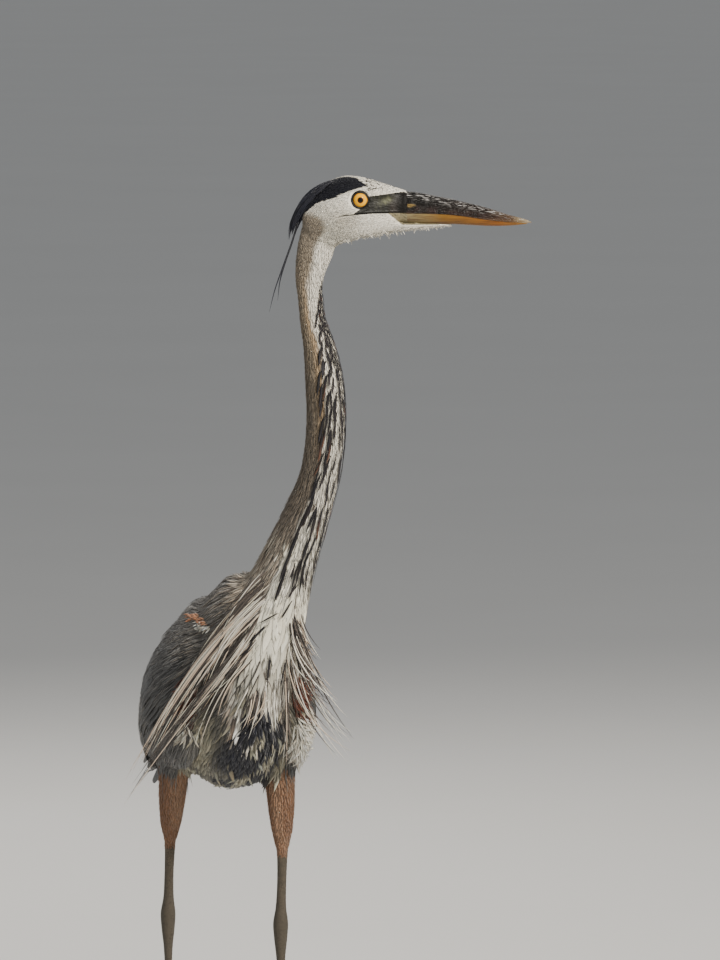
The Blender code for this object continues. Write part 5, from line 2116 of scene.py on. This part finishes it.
def dress_patches():
    starts, lengths, roots, tips = [], [], [], []
    for middle, reach, count, length, root, tip in PATCHES:
        off = np.clip(chance.normal(0, 0.55, (count, 2)), -1.1, 1.1)
        starts.append(np.array(middle) + off * reach)
        lengths.append(length * chance.uniform(0.7, 1.2, count))
        roots.append(varied(root, 0.2, count))
        tips.append(varied(tip, 0.2, count))
    starts, lengths = np.concatenate(starts), np.concatenate(lengths)
    count = len(starts)
    places, _ = from_front(starts)
    paths, normals = laid_paths(places, lengths, 4, chance.normal(0, 0.5, count), 0.2)
    paths = paths + normals * 0.0034
    tract = Feathers(paths, normals, millimetres(0.8, 1.6, count), millimetres(1.5, 4.0, count))
    tract.coloured(np.concatenate(roots), np.concatenate(tips))
    sway = chance.normal(0, 0.002, count)
    loose_feathers("wing_bend_tufts", tract, soft_plumage, "wing_feathers", 6, 3, "lancet", 0.3, sway)


dress_patches()

# %% [markdown]
# ## Plumes of the back
# The back is covered by long, narrow, pale grey plumes that start between the shoulders and trail over the
# wings and the tail. Drawn one by one they would take a long table, so rays from above find their roots.
# They follow the skin and hang free where the body turns away under them.

# %% Plumes of the back


def dress_back():
    count = 360
    ahead = chance.uniform(-0.105, 0.045, count)
    out = chance.normal(0, 1, count) * np.interp(ahead, [-0.1, 0.04], [0.02, 0.034])
    roots = skin_hits([body_point(f, o, 0.9) for f, o in zip(ahead, out)], -UP)
    length = chance.uniform(0.06, 0.13, count)
    paths, normals = laid_paths(roots, length, 8, out * -2.5 + chance.normal(0, 0.07, count), 0.35)
    half = millimetres(1.2, 2.3, count)
    tract = Feathers(paths, normals, half, millimetres(2.0, 5.0, count))
    tip = blend(chance.random(count) ** 2, as_rows(BACK_GREY, count), PALE_SLATE * 1.15)
    tract.coloured(varied(tip * 0.62, 0.1), varied(tip, 0.1), tip * 1.35, 0.5)
    sway = chance.normal(0, 0.002, count)
    loose_feathers("back_plumes", tract, silky_plumage, "body_feathers", 12, 3, "strand", 0.36, sway)


dress_back()

# %% [markdown]
# ## Large feathers of the wings
# A folded wing shows its feathers in rows. Coverts lie like tiles over the roots of the long secondaries,
# and the dark primaries end beyond them. One sheet with grooves would be quicker, but its tips wouldn't
# stand free, so each is a broad vane with a shaft and a closed underside. A ray from the side lays its path
# on the wing's solid, so that it stays within the wing's outline.

# %% Large feathers of the wings


def on_wing(tree, outward, places, depth):
    """Paths from places ahead and up, on the outside of the wing, sunk by a depth."""
    paths, normals = [], []
    for row in places:
        points, last = [], 0.055
        for f, h in row:
            start = Vector(body_point(f, outward * 0.3, h))
            hit = tree.ray_cast(start, Vector(-outward * LEFT))[0]
            last = abs((np.array(hit) - PLAN) @ LEFT) - depth if hit else last - 0.0012
            points.append(body_point(f, outward * last, h))
        paths.append(points)
        normals.append(np.tile(LEFT * outward, (len(points), 1)))
    return np.array(paths), np.array(normals)


def row_of(count, first, last, length, tilt):
    """Straight paths of one row: roots between two places, lengths, and how steeply each falls."""
    share = np.linspace(0, 1, count)[:, None]
    roots = np.array(first) * (1 - share) + np.array(last) * share
    roots = roots + chance.normal(0, 0.0012, roots.shape)
    angle = np.radians(np.linspace(*tilt, count)) + chance.normal(0, 0.02, count)
    run = np.column_stack([-np.cos(angle), -np.sin(angle)])
    lengths = np.linspace(*length, count)[:, None]
    steps = np.linspace(0, 1, 6)[None, :, None]
    sag = steps**2 * lengths[:, None] * (0, -0.06)
    return roots[:, None] + run[:, None] * lengths[:, None] * steps + sag


WING_ROWS = [  # name, count, first root, last root, lengths, tilts, half width, depth, lift
    ("primaries", 7, (-0.105, 0.372), (-0.150, 0.392), (0.190, 0.172), (9, 13), 0.0085, 0.0100, 0.0010),
    ("secondaries", 13, (0.030, 0.372), (-0.100, 0.452), (0.150, 0.200), (12, 27), 0.0092, 0.0060, 0.0014),
    ("great_coverts", 15, (0.058, 0.392), (-0.062, 0.484), (0.062, 0.088), (20, 34), 0.0070, 0.0036, 0.0018),
    ("middle_coverts", 17, (0.062, 0.420), (-0.040, 0.500), (0.040, 0.052), (26, 38), 0.0054, 0.0018, 0.0020),
]
WING_TONES = {"primaries": 0.42, "secondaries": 0.8, "great_coverts": 0.92, "middle_coverts": 1.0}


def dress_flight(side, outward):
    tree = tree_of([f"wing_{side}"])
    for name, count, first, last, length, tilt, half, depth, lift in WING_ROWS:
        places = row_of(count, first, last, length, tilt)
        paths, normals = on_wing(tree, outward, places, depth)
        normals = unit(normals + UP * 0.25)
        tract = Feathers(paths, normals, half * chance.uniform(0.92, 1.08, count), lift)
        colour = SLATE * WING_TONES[name]
        root, tip = varied(colour * 1.1, 0.05, count), varied(colour * 0.85, 0.05, count)
        tract.coloured(root, tip, colour * 0.35, 0.25)
        shape = (22, 7, "quill", 0.1, 0.0, 0.0005)
        feather_mesh(f"{name}_{side}", tract, glossy_plumage, "wing_feathers", *shape)


dress_flight("right", -1)
dress_flight("left", 1)

# %% [markdown]
# ## The tail
# Twelve broad feathers make the tail. They fan out a little, the middle pair on top, with darker tips. Each
# is a vane of its own, because their edges show from behind and from the side.

# %% The tail


def dress_tail():
    shares = np.linspace(-1, 1, 12)
    shares = shares[np.argsort(-np.abs(shares))]
    paths, normals = [], []
    for out, layer in zip(shares, np.linspace(0, 1, 12)):
        row = [
            body_point(
                -0.165 - 0.148 * t + 0.01 * abs(out) * t,
                out * (0.01 + 0.021 * t),
                0.356 - 0.0345 * t - 0.004 * out**2 + 0.0035 * layer,
            )
            for t in np.linspace(0, 1, 6)
        ]
        paths.append(row)
        normals.append(np.tile(unit(UP + LEFT * out * 0.35), (6, 1)))
    tract = Feathers(np.array(paths), np.array(normals), 0.0108, 0.0)
    colour = SLATE * 1.05
    tract.coloured(varied(colour, 0.05, 12), varied(colour * 0.55, 0.05, 12), colour * 0.4, 0.25)
    feather_mesh("tail_quills", tract, glossy_plumage, "tail_feathers", 22, 9, "quill", 0.1, 0.0, 0.0006)


dress_tail()

# %% [markdown]
# ## Locks of the belly
# Below the bib the belly is black in the middle. Loose locks curl this way and that over it, more of them
# olive-white at its sides. Short feathers alone would look combed, so these are broad and soft, with
# pointed tips that stand off the coat.

# %% Locks of the belly
BELLY_LOCKS = 420


def dress_belly():
    _, out, z = body_places(face_middles)
    low = in_parts(TRUNK, NECK_PART) & (z < 0.452) & (np.abs(out) < 0.062)
    roots, _, faces = scatter(low & (face_normals @ FORWARD > -0.55), 2.0)
    roots, faces = roots[:BELLY_LOCKS], faces[:BELLY_LOCKS]
    count = len(roots)
    length = chance.uniform(0.02, 0.042, count)
    paths, normals = laid_paths(roots, length, 6, chance.normal(0, 0.45, count), 0.55)
    tract = Feathers(paths, normals, millimetres(1.3, 3.2, count), millimetres(2.5, 6.5, count))
    tract.faces = faces
    colour, *_ = colours_at(tract, 0.3)
    light = chance.random(count) < np.where(np.abs(body_places(roots)[1]) > 0.022, 0.4, 0.14)
    colour[light] = blend(0.75, colour[light], OLIVE_WHITE)
    tract.coloured(varied(colour * 0.38, 0.2), varied(colour * 1.05, 0.25), colour * 1.2, 0.3)
    sway = chance.normal(0, 0.0045, count)
    loose_feathers("belly_locks", tract, soft_plumage, "body_feathers", 11, 5, "lancet", 0.34, sway)


dress_belly()

# %% [markdown]
# ## The crest
# Black feathers reach back from the crown over the nape in a hood that tapers to a few points. There's no
# skin under them to be laid on, so they follow the crest's own line. The hood's line, width and thickness
# are those of its solid, and each feather follows a part of it. Two very long thin plumes hang free behind
# the neck.

# %% The crest
CREST_ROWS = in_metres([  # across, up, half width, half thickness
    (1130, 9795, 95, 30),
    (980, 9700, 140, 72),
    (880, 9615, 126, 78),
    (790, 9505, 96, 68),
    (725, 9385, 66, 52),
    (690, 9275, 38, 36),
    (668, 9175, 12, 12),
])
CREST = Track([(PLAN[0] + x, HEAD_Y, z, half, thick) for x, z, half, thick in CREST_ROWS])
CREST_PLUMES = [  # across, out from the middle, and up
    in_metres([(765, 12, 9460), (700, 16, 9210), (626, 28, 8990), (562, 40, 8770), (537, 50, 8562)]),
    in_metres([(765, -12, 9460), (690, -26, 9190), (604, -58, 8950), (512, -84, 8690), (452, -99, 8452)]),
]


def crest_feathers(count, first, last, turns, reach):
    """Paths round the crest's line. A turn of 0 is its outside, away from the neck."""
    start = chance.uniform(first, last, count)
    end = np.minimum(start + chance.uniform(*reach, count), chance.uniform(0.72, 1.0, count))
    turn = chance.uniform(*turns, count) * np.where(chance.random(count) < 0.5, 1, -1)
    shares = start[:, None] + (end - start)[:, None] * np.linspace(0, 1, 6)
    rows = CREST.at(shares.ravel()).reshape(count, 6, 5)
    along = CREST.heading(shares.ravel()).reshape(count, 6, 3)
    side = np.array([0, 1.0, 0])
    outside = unit(np.cross(side, along))
    outside *= np.sign(outside[..., 2:3] - 0.5 * outside[..., 0:1])
    c, s = np.cos(turn)[:, None, None], np.sin(turn)[:, None, None]
    off = outside * c * rows[..., 4:5] + side * s * rows[..., 3:4]
    inward = 0.86 - 0.1 * np.linspace(0, 1, 6)[None, :, None]
    return rows[..., :3] + off * inward, unit(outside * c / rows[..., 4:5] + side * s / rows[..., 3:4])


def dress_crest():
    groups = [(110, 0.0, 0.6, (0.0, 1.75), (0.24, 0.52)), (40, 0.12, 0.55, (1.6, 3.1), (0.22, 0.42))]
    made = [crest_feathers(*group) for group in groups]
    paths = np.concatenate([m[0] for m in made])
    normals = np.concatenate([m[1] for m in made])
    count = len(paths)
    tract = Feathers(paths, normals, millimetres(0.9, 1.8, count), millimetres(0.2, 1.6, count))
    tract.coloured(varied(BLACK, 0.1, count), varied(BLACK * 1.9, 0.25, count), BLACK * 3.0, 0.4)
    shape = (9, 3, "lancet", 0.4, 0.0, 0.0002)
    piece = feather_mesh("crest_plumage", tract, dark_plumage, "crest_feathers", *shape)
    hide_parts("crest")


def dress_crest_plumes():
    paths = np.array(CREST_PLUMES) + (PLAN[0], HEAD_Y, 0)
    normals = np.tile(np.array([-0.35, -0.9, 0.2]), (2, 5, 1))
    tract = Feathers(paths, unit(normals), 0.00095, 0.0)
    tract.coloured(BLACK, BLACK * 2.2)
    feather_mesh("nape_plumes", tract, glossy_plumage, "crest_feathers", 30, 5, "strand", 0.5, 0.0, 0.0003)


dress_crest()
dress_crest_plumes()

# %% [markdown]
# ## Ragged edge of the chin
# Under the lower bill the chin's white feathers end in loose points that break its straight edge. The
# head's coat lies too close for that, so these are added. Rays from below find their roots.

# %% The chin's edge


def dress_chin():
    count = 520
    x = chance.uniform(0.122, 0.234, count)
    places = [0.122, 0.15, 0.176, 0.198, 0.218, 0.234]
    half = np.interp(x, places, [0.011, 0.01, 0.007, 0.005, 0.003, 0.0008])
    side = chance.uniform(-1, 1, count)
    starts = np.column_stack([x + PLAN[0], HEAD_Y + half * side, np.full(count, 0.8)])
    roots = skin_hits(starts.tolist(), UP) + UP * 0.0004
    drop = np.radians(chance.normal(30, 12, count))
    forward = np.where(chance.random(count) < 0.06, 0.4, -1.0)
    run = unit(np.column_stack([np.cos(drop) * forward, side * 0.3, -np.sin(drop)]))
    length = np.interp(x, [0.122, 0.16, 0.2, 0.234], [6.5, 7.0, 5.5, 3.0])
    reach = (length * chance.uniform(0.7, 1.25, count) / 1000)[:, None, None] * np.linspace(0, 1, 4)[:, None]
    outward = np.array([0.0, 1.0, 0]) * np.sign(side)[:, None] + (0.2, 0, -0.6)
    normals = unit(np.repeat(outward[:, None], 4, axis=1))
    tract = Feathers(roots[:, None] + run[:, None] * reach, normals, millimetres(0.28, 0.62, count), 0.0)
    tract.coloured(varied(WHITE * 0.8, 0.06, count), varied(WHITE, 0.06, count))
    sway = chance.normal(0, 0.0009, count)
    loose_feathers("chin_feathers", tract, soft_plumage, "head_feathers", 6, 3, "lancet", 0.35, sway)


dress_chin()

# %% [markdown]
# ## The bill
# A heron's bill is two long tapering halves of horn. Their solids are too plain to be looked at closely, so
# they're lofted again from the same sizes through many rings. The groove along each side of the upper one
# and the slit of the nostril could be cut out, but pressed into the rings they have soft edges.

# %% The bill's shape
BILL_TIP = (PLAN[0] + 0.3153, 0.9376, 0.9369, 0.0007)  # x, ridge height, mouth line, half width
NOSTRIL = (PLAN[0] + 0.1965, 0.9556)
MOUTH_GAP = 0.0003


def bill_ring(x, edge, mouth, half, upper):
    """Points round one half of the bill, with the groove and the nostril pressed in."""
    a = np.linspace(0, math.pi, 41)
    y = half * np.cos(a)
    z = (edge - mouth) * np.sin(a) ** 0.85
    ahead = x - PLAN[0]
    from_nostril = x - NOSTRIL[0]
    if upper:
        height = (mouth + z) - np.interp(from_nostril, [-0.012, 0.06], [0.956, 0.951])
        run = between(from_nostril, -0.014, -0.004, 0.02, 0.062)
        groove = 0.00065 * run * hill(height, 0.0013)
        slit = 0.0011 * np.exp(-((from_nostril / 0.0042) ** 4)) * hill(mouth + z - NOSTRIL[1], 0.0007)
        y = y * (1 - (groove + slit) / max(half, 0.001))
        lip = hill(z, 0.0011) * 0.00018 * smooth(-ahead, -0.31, -0.2)
        y = y + np.sign(np.cos(a)) * lip
    else:
        fold = 0.00035 * hill(np.abs(np.cos(a)) - 0.62, 0.13) * smooth(-ahead, -0.27, -0.2)
        y = y * (1 - fold / max(half, 0.001))
    return np.column_stack([np.full(len(a), x), HEAD_Y + y, mouth + z])


def make_bill(which, material):
    upper = which == "upper"
    rings = []
    for x, ridge, mouth, keel, half in BILL.at(np.linspace(0, 1, 90) ** 0.9):
        edge, line = (ridge, mouth) if upper else (keel, mouth - MOUTH_GAP)
        rings.append(bill_ring(x, edge, line, half, upper))
    if upper:
        rings.append(bill_ring(*BILL_TIP, True))
    horn = to_object(f"bill_{which}_horn", loft(rings))
    horn.data.shade_smooth()
    horn.data.set_sharp_from_angle(angle=math.radians(50))
    finish_piece(horn, material, f"{which}_bill", f"bill_{which}")


# %% [markdown]
# Horn is a glossy layer over long fibres. Noise that is stretched along the bill makes them, so nothing has
# to be painted. The colour runs from the root to the tip, broken by streaks much longer than they are wide.
# The upper half is dark, with pale glints painted along its ridge as highlights. The lower half is dusky and
# greenish at its root, then deep yellow. Both tips are pale and a little worn.

# %% The bill's finish
UPPER_STOPS = [  # share of the length, colour
    (0.0, (0.006, 0.005, 0.004)),
    (0.22, (0.005, 0.004, 0.003)),
    (0.66, (0.012, 0.007, 0.005)),
    (0.86, (0.090, 0.055, 0.030)),
    (0.94, (0.38, 0.30, 0.17)),
    (1.0, (0.50, 0.43, 0.30)),
]
LOWER_STOPS = [
    (0.0, (0.18, 0.155, 0.090)),
    (0.16, (0.19, 0.145, 0.060)),
    (0.34, (0.150, 0.070, 0.005)),
    (0.75, (0.175, 0.056, 0.002)),
    (0.95, (0.20, 0.095, 0.012)),
    (1.0, (0.42, 0.34, 0.19)),
]
BILL_BROWN = (0.03, 0.012, 0.009)
BILL_PALE = (0.13, 0.1, 0.075)
BILL_BLACK = (0.004, 0.0035, 0.0035)
# painted highlight: the pale colour of the glints along the upper bill's ridge
BILL_PAINTED_GLINT = (0.46, 0.445, 0.43)
BILL_EDGE = (0.115, 0.06, 0.026)
NOSTRIL_OCHRE = (0.3, 0.2, 0.055)
BILL_DUSK = (0.085, 0.065, 0.035)
BILL_RUST = (0.06, 0.02, 0.003)
BILL_GOLD = (0.4, 0.22, 0.04)


def along_bill(finish):
    """A place on the bill, its share of the way from the bill's root to its tip, streaks and blotches."""
    where = finish.place()
    x, _, z = finish.apart(where)
    share = (x - float(PLAN[0]) - 0.176) / 0.1395
    streak = finish.noise(finish.stretch(where, (28.0, 900.0, 900.0)), 1.0, 4.0, 0.6)
    blotch = finish.noise(finish.stretch(where, (110.0, 230.0, 260.0)), 1.0, 3.0)
    return where, x, z, share, streak, blotch


def upper_bill_finish():
    finish = Finish("horn_dark", Specular_IOR_Level=0.26, Coat_IOR=1.3, Coat_Roughness=0.12)
    where, x, z, share, streak, blotch = along_bill(finish)
    ramp = finish.ramp(share, UPPER_STOPS)
    low_brown = (0.96 - z - share * 0.016).step(0.0, 0.006) * blotch.step(0.35, 0.6)
    colour = finish.mix(low_brown * 0.5, ramp, BILL_BROWN)
    colour = finish.mix(streak.step(0.58, 0.76) * share.step(0.3, 0.6) * 0.6, colour, BILL_PALE)
    colour = finish.mix((1 - streak).step(0.55, 0.72) * 0.7, colour, BILL_BLACK)
    # painted highlight: pale broken glints along the top of the upper bill
    top = (z - 0.9635 + share * 0.029).step(0.0, 0.0055)
    ripple_line = finish.noise(finish.stretch(where, (85.0, 1150.0, 1150.0)), 1.0, 2.0, 0.6)
    painted_glint = ripple_line.step(0.545, 0.6) * blotch.step(0.34, 0.56)
    colour = finish.mix(top * painted_glint * share.step(0.0, 0.08) * 0.8, colour, BILL_PAINTED_GLINT)
    spot_x = (x - float(NOSTRIL[0]) + 0.006) / 0.006
    spot_z = (z - float(NOSTRIL[1]) + 0.0008) / 0.002
    spot = (1 - (spot_x * spot_x + spot_z * spot_z)).step(-0.3, 0.9)
    spot = spot * (blotch + streak * 0.5).step(0.62, 0.85)
    colour = finish.mix(spot * 0.75, colour, NOSTRIL_OCHRE)
    edge = (0.9495 - z - share * 0.01).step(0.0, 0.003) * 0.45
    colour = finish.mix(edge, colour, BILL_EDGE)
    rough = 0.24 + (blotch - 0.5) * 0.3 + (streak - 0.5) * 0.3
    bump = finish.bump(streak * 1.2 + ripple_line * 0.5 + blotch * 0.8, 0.0016, 1.0)
    return finish.feed(Base_Color=colour, Roughness=rough, Normal=bump, Coat_Weight=blotch * 0.2)


def lower_bill_finish():
    finish = Finish("horn_yellow", Specular_IOR_Level=0.3, Coat_IOR=1.3, Coat_Roughness=0.25)
    where, _, _, share, streak, blotch = along_bill(finish)
    ramp = finish.ramp(share, LOWER_STOPS)
    fleck = finish.noise(where, 520.0, 2.0).step(0.56, 0.7) * (1 - share).step(0.55, 0.95)
    colour = finish.mix(fleck * 0.55, ramp, BILL_DUSK)
    colour = finish.mix(streak.step(0.47, 0.66) * 0.7, colour, BILL_RUST)
    colour = finish.mix((1 - streak).step(0.56, 0.76) * 0.35, colour, BILL_GOLD)
    rough = 0.42 + (blotch - 0.5) * 0.3
    bump = finish.bump(streak + blotch * 0.4, 0.0004, 0.7)
    return finish.feed(Base_Color=colour, Roughness=rough, Normal=bump, Coat_Weight=blotch * 0.35)


make_bill("upper", upper_bill_finish())
make_bill("lower", lower_bill_finish())
print("bill", round(BILL_TIP[0] - PLAN[0] - 0.1855, 4), "m past the forehead")

# %% [markdown]
# ## Eyes and lids
# The eye is a glossy ball. Its rings could be modelled, but a finish can draw them finer, round the ball's
# axis: a black pupil, a thin orange edge, the bright yellow iris with fine spokes, and a dark rim. The lid
# is a bare ring whose inner edge lies on the ball and whose outer edge runs down into the skin.

# %% The eyes
EYE_RADIUS = 0.0086
PUPIL = 0.0029
IRIS = 0.0074


def eye_finish(name):
    finish = Finish(
        name, Specular_IOR_Level=0.1, Roughness=0.4, Coat_Weight=0.8, Coat_IOR=1.22, Coat_Roughness=0.03
    )
    x, _, z = finish.apart(finish.place())
    dx = x - float(EYE[0] + 0.0003)
    dz = z - float(EYE[2])
    radius = (dx * dx + dz * dz) ** 0.5
    spokes = finish.node("ShaderNodeCombineXYZ", None, {0: dx / radius, 1: dz / radius, 2: radius * 60.0})[0]
    fibre = finish.noise(spokes, 7.0, 3.0, 0.6)
    share = radius / EYE_RADIUS + (fibre - 0.5) * 0.03
    stops = [
        (0.0, (0.004, 0.004, 0.004)),
        (PUPIL / EYE_RADIUS - 0.012, (0.004, 0.004, 0.004)),
        (PUPIL / EYE_RADIUS + 0.012, (0.42, 0.13, 0.0)),
        (PUPIL / EYE_RADIUS + 0.09, (0.8, 0.37, 0.0)),
        (IRIS / EYE_RADIUS - 0.16, (0.8, 0.41, 0.0)),
        (IRIS / EYE_RADIUS - 0.035, (0.42, 0.135, 0.0)),
        (IRIS / EYE_RADIUS + 0.02, (0.02, 0.016, 0.012)),
        (1.0, (0.01, 0.01, 0.01)),
    ]
    colour = finish.ramp(share, stops)
    bump = finish.bump(fibre, 0.0001, 0.25)
    return finish.feed(Base_Color=finish.scale(colour, 0.82 + fibre * 0.36), Normal=bump)


def make_eye(name, side):
    """A ball with its pole towards the side."""
    turn = circle(64)
    rings = []
    for a in np.linspace(0.02, math.pi - 0.02, 44):
        out = HEAD_Y + side * (EYE_OUT + EYE_RADIUS * math.cos(a))
        wide = EYE_RADIUS * math.sin(a)
        x, z = EYE[0] + wide * np.cos(turn), EYE[2] + wide * np.sin(turn)
        rings.append(np.column_stack([x, np.full(len(turn), out), z]))
    ball = to_object(f"{name}_ball", loft(rings))
    ball.data.shade_smooth()
    finish_piece(ball, eye_finish(f"iris_{name}"), "eyes", name)


def lid_finish():
    finish = Finish("lid_skin", Specular_IOR_Level=0.22)
    where = finish.place()
    fold = finish.noise(where, 900.0, 3.0)
    patch = finish.noise(where, 230.0, 2.0).step(0.45, 0.65)
    colour = finish.mix(patch * 0.5, (0.008, 0.008, 0.007), (0.045, 0.045, 0.026))
    colour = finish.scale(colour, 0.7 + fold * 0.6)
    rough = 0.45 + (fold - 0.5) * 0.3
    return finish.feed(Base_Color=colour, Roughness=rough, Normal=finish.bump(fold, 0.0002, 0.8))


def make_lids(side):
    """The ring round the eye. It is drawn out into a corner ahead and behind, and folded in fine pleats."""
    turn = circle(144)
    c, s = np.cos(turn), np.sin(turn)
    corner = hill(s, 0.22) * np.where(c > 0, 1.0, 0.6)
    inner = 0.00725 + 0.0006 * corner - 0.00022 * hill(s - 1, 0.35)
    outer = 0.0098 + 0.0012 * corner * (c > 0) + 0.0003 * s
    beside = np.full(len(turn), HEAD_Y + side * 0.05)
    starts = np.column_stack([EYE[0] + outer * c, beside, EYE[2] + outer * s])
    skin_out = (skin_hits(starts.tolist(), (0, -side, 0))[:, 1] - HEAD_Y) * side
    rings = []
    for share in np.linspace(0, 1, 13):
        radius = inner + (outer - inner) * share
        on_ball = EYE_OUT + np.sqrt(np.maximum((EYE_RADIUS + 0.00005) ** 2 - inner**2, 0))
        swell = 0.00075 * math.sin(math.pi * min(share * 1.15, 1.0)) ** 0.7
        pleat = 0.00009 * np.sin(turn * 34 + share * 5) * math.sin(math.pi * share)
        groove = -0.0003 * math.exp(-(((share - 0.62) / 0.1) ** 2))
        out = on_ball * (1 - share) + (skin_out - 0.0003) * share + swell + pleat + groove
        rings.append(np.column_stack([EYE[0] + radius * c, HEAD_Y + side * out, EYE[2] + radius * s]))
    back = rings[::-1][1:-1:4]
    under = [ring - np.array([0, side * 0.0016, 0]) for ring in (rings[-1], *back, rings[0])]
    mesh = bmesh.new()
    loops = [[mesh.verts.new(p) for p in ring] for ring in [*rings, *under]]
    for low, high in zip(loops, [*loops[1:], loops[0]]):
        for k in range(len(low)):
            j = (k + 1) % len(low)
            mesh.faces.new((low[k], low[j], high[j], high[k]))
    bmesh.ops.recalc_face_normals(mesh, faces=mesh.faces)
    lids = to_object(f"eyelids_{'left' if side > 0 else 'right'}", mesh)
    lids.data.shade_smooth()
    finish_piece(lids, lid_finish(), "head_feathers")


for eye_name, eye_side in (("eye_left", 1), ("eye_right", -1)):
    make_eye(eye_name, eye_side)
    make_lids(eye_side)

# %% [markdown]
# ## Claws
# The claws are short curved cones. Their solids already have the right shape, so they aren't made again and
# only get a better finish: dark horn, paler and more worn in patches.

# %% The claws


def claw_finish():
    finish = Finish("claw_horn", Specular_IOR_Level=0.45)
    where = finish.place()
    worn = finish.noise(where, 420.0, 3.0)
    colour = finish.mix(worn.step(0.42, 0.7), (0.02, 0.017, 0.014), (0.095, 0.08, 0.06))
    bump = finish.bump(finish.noise(finish.stretch(where, (900.0, 900.0, 2600.0)), 1.0, 2.0), 0.0002, 0.5)
    return finish.feed(Base_Color=colour, Roughness=0.34 + worn * 0.3, Normal=bump)


claw_horn = claw_finish()
for name, node in frame["nodes"].items():
    if name.startswith("claw"):
        for holder in node.material_slots:
            holder.material = claw_horn
print("claws finished")
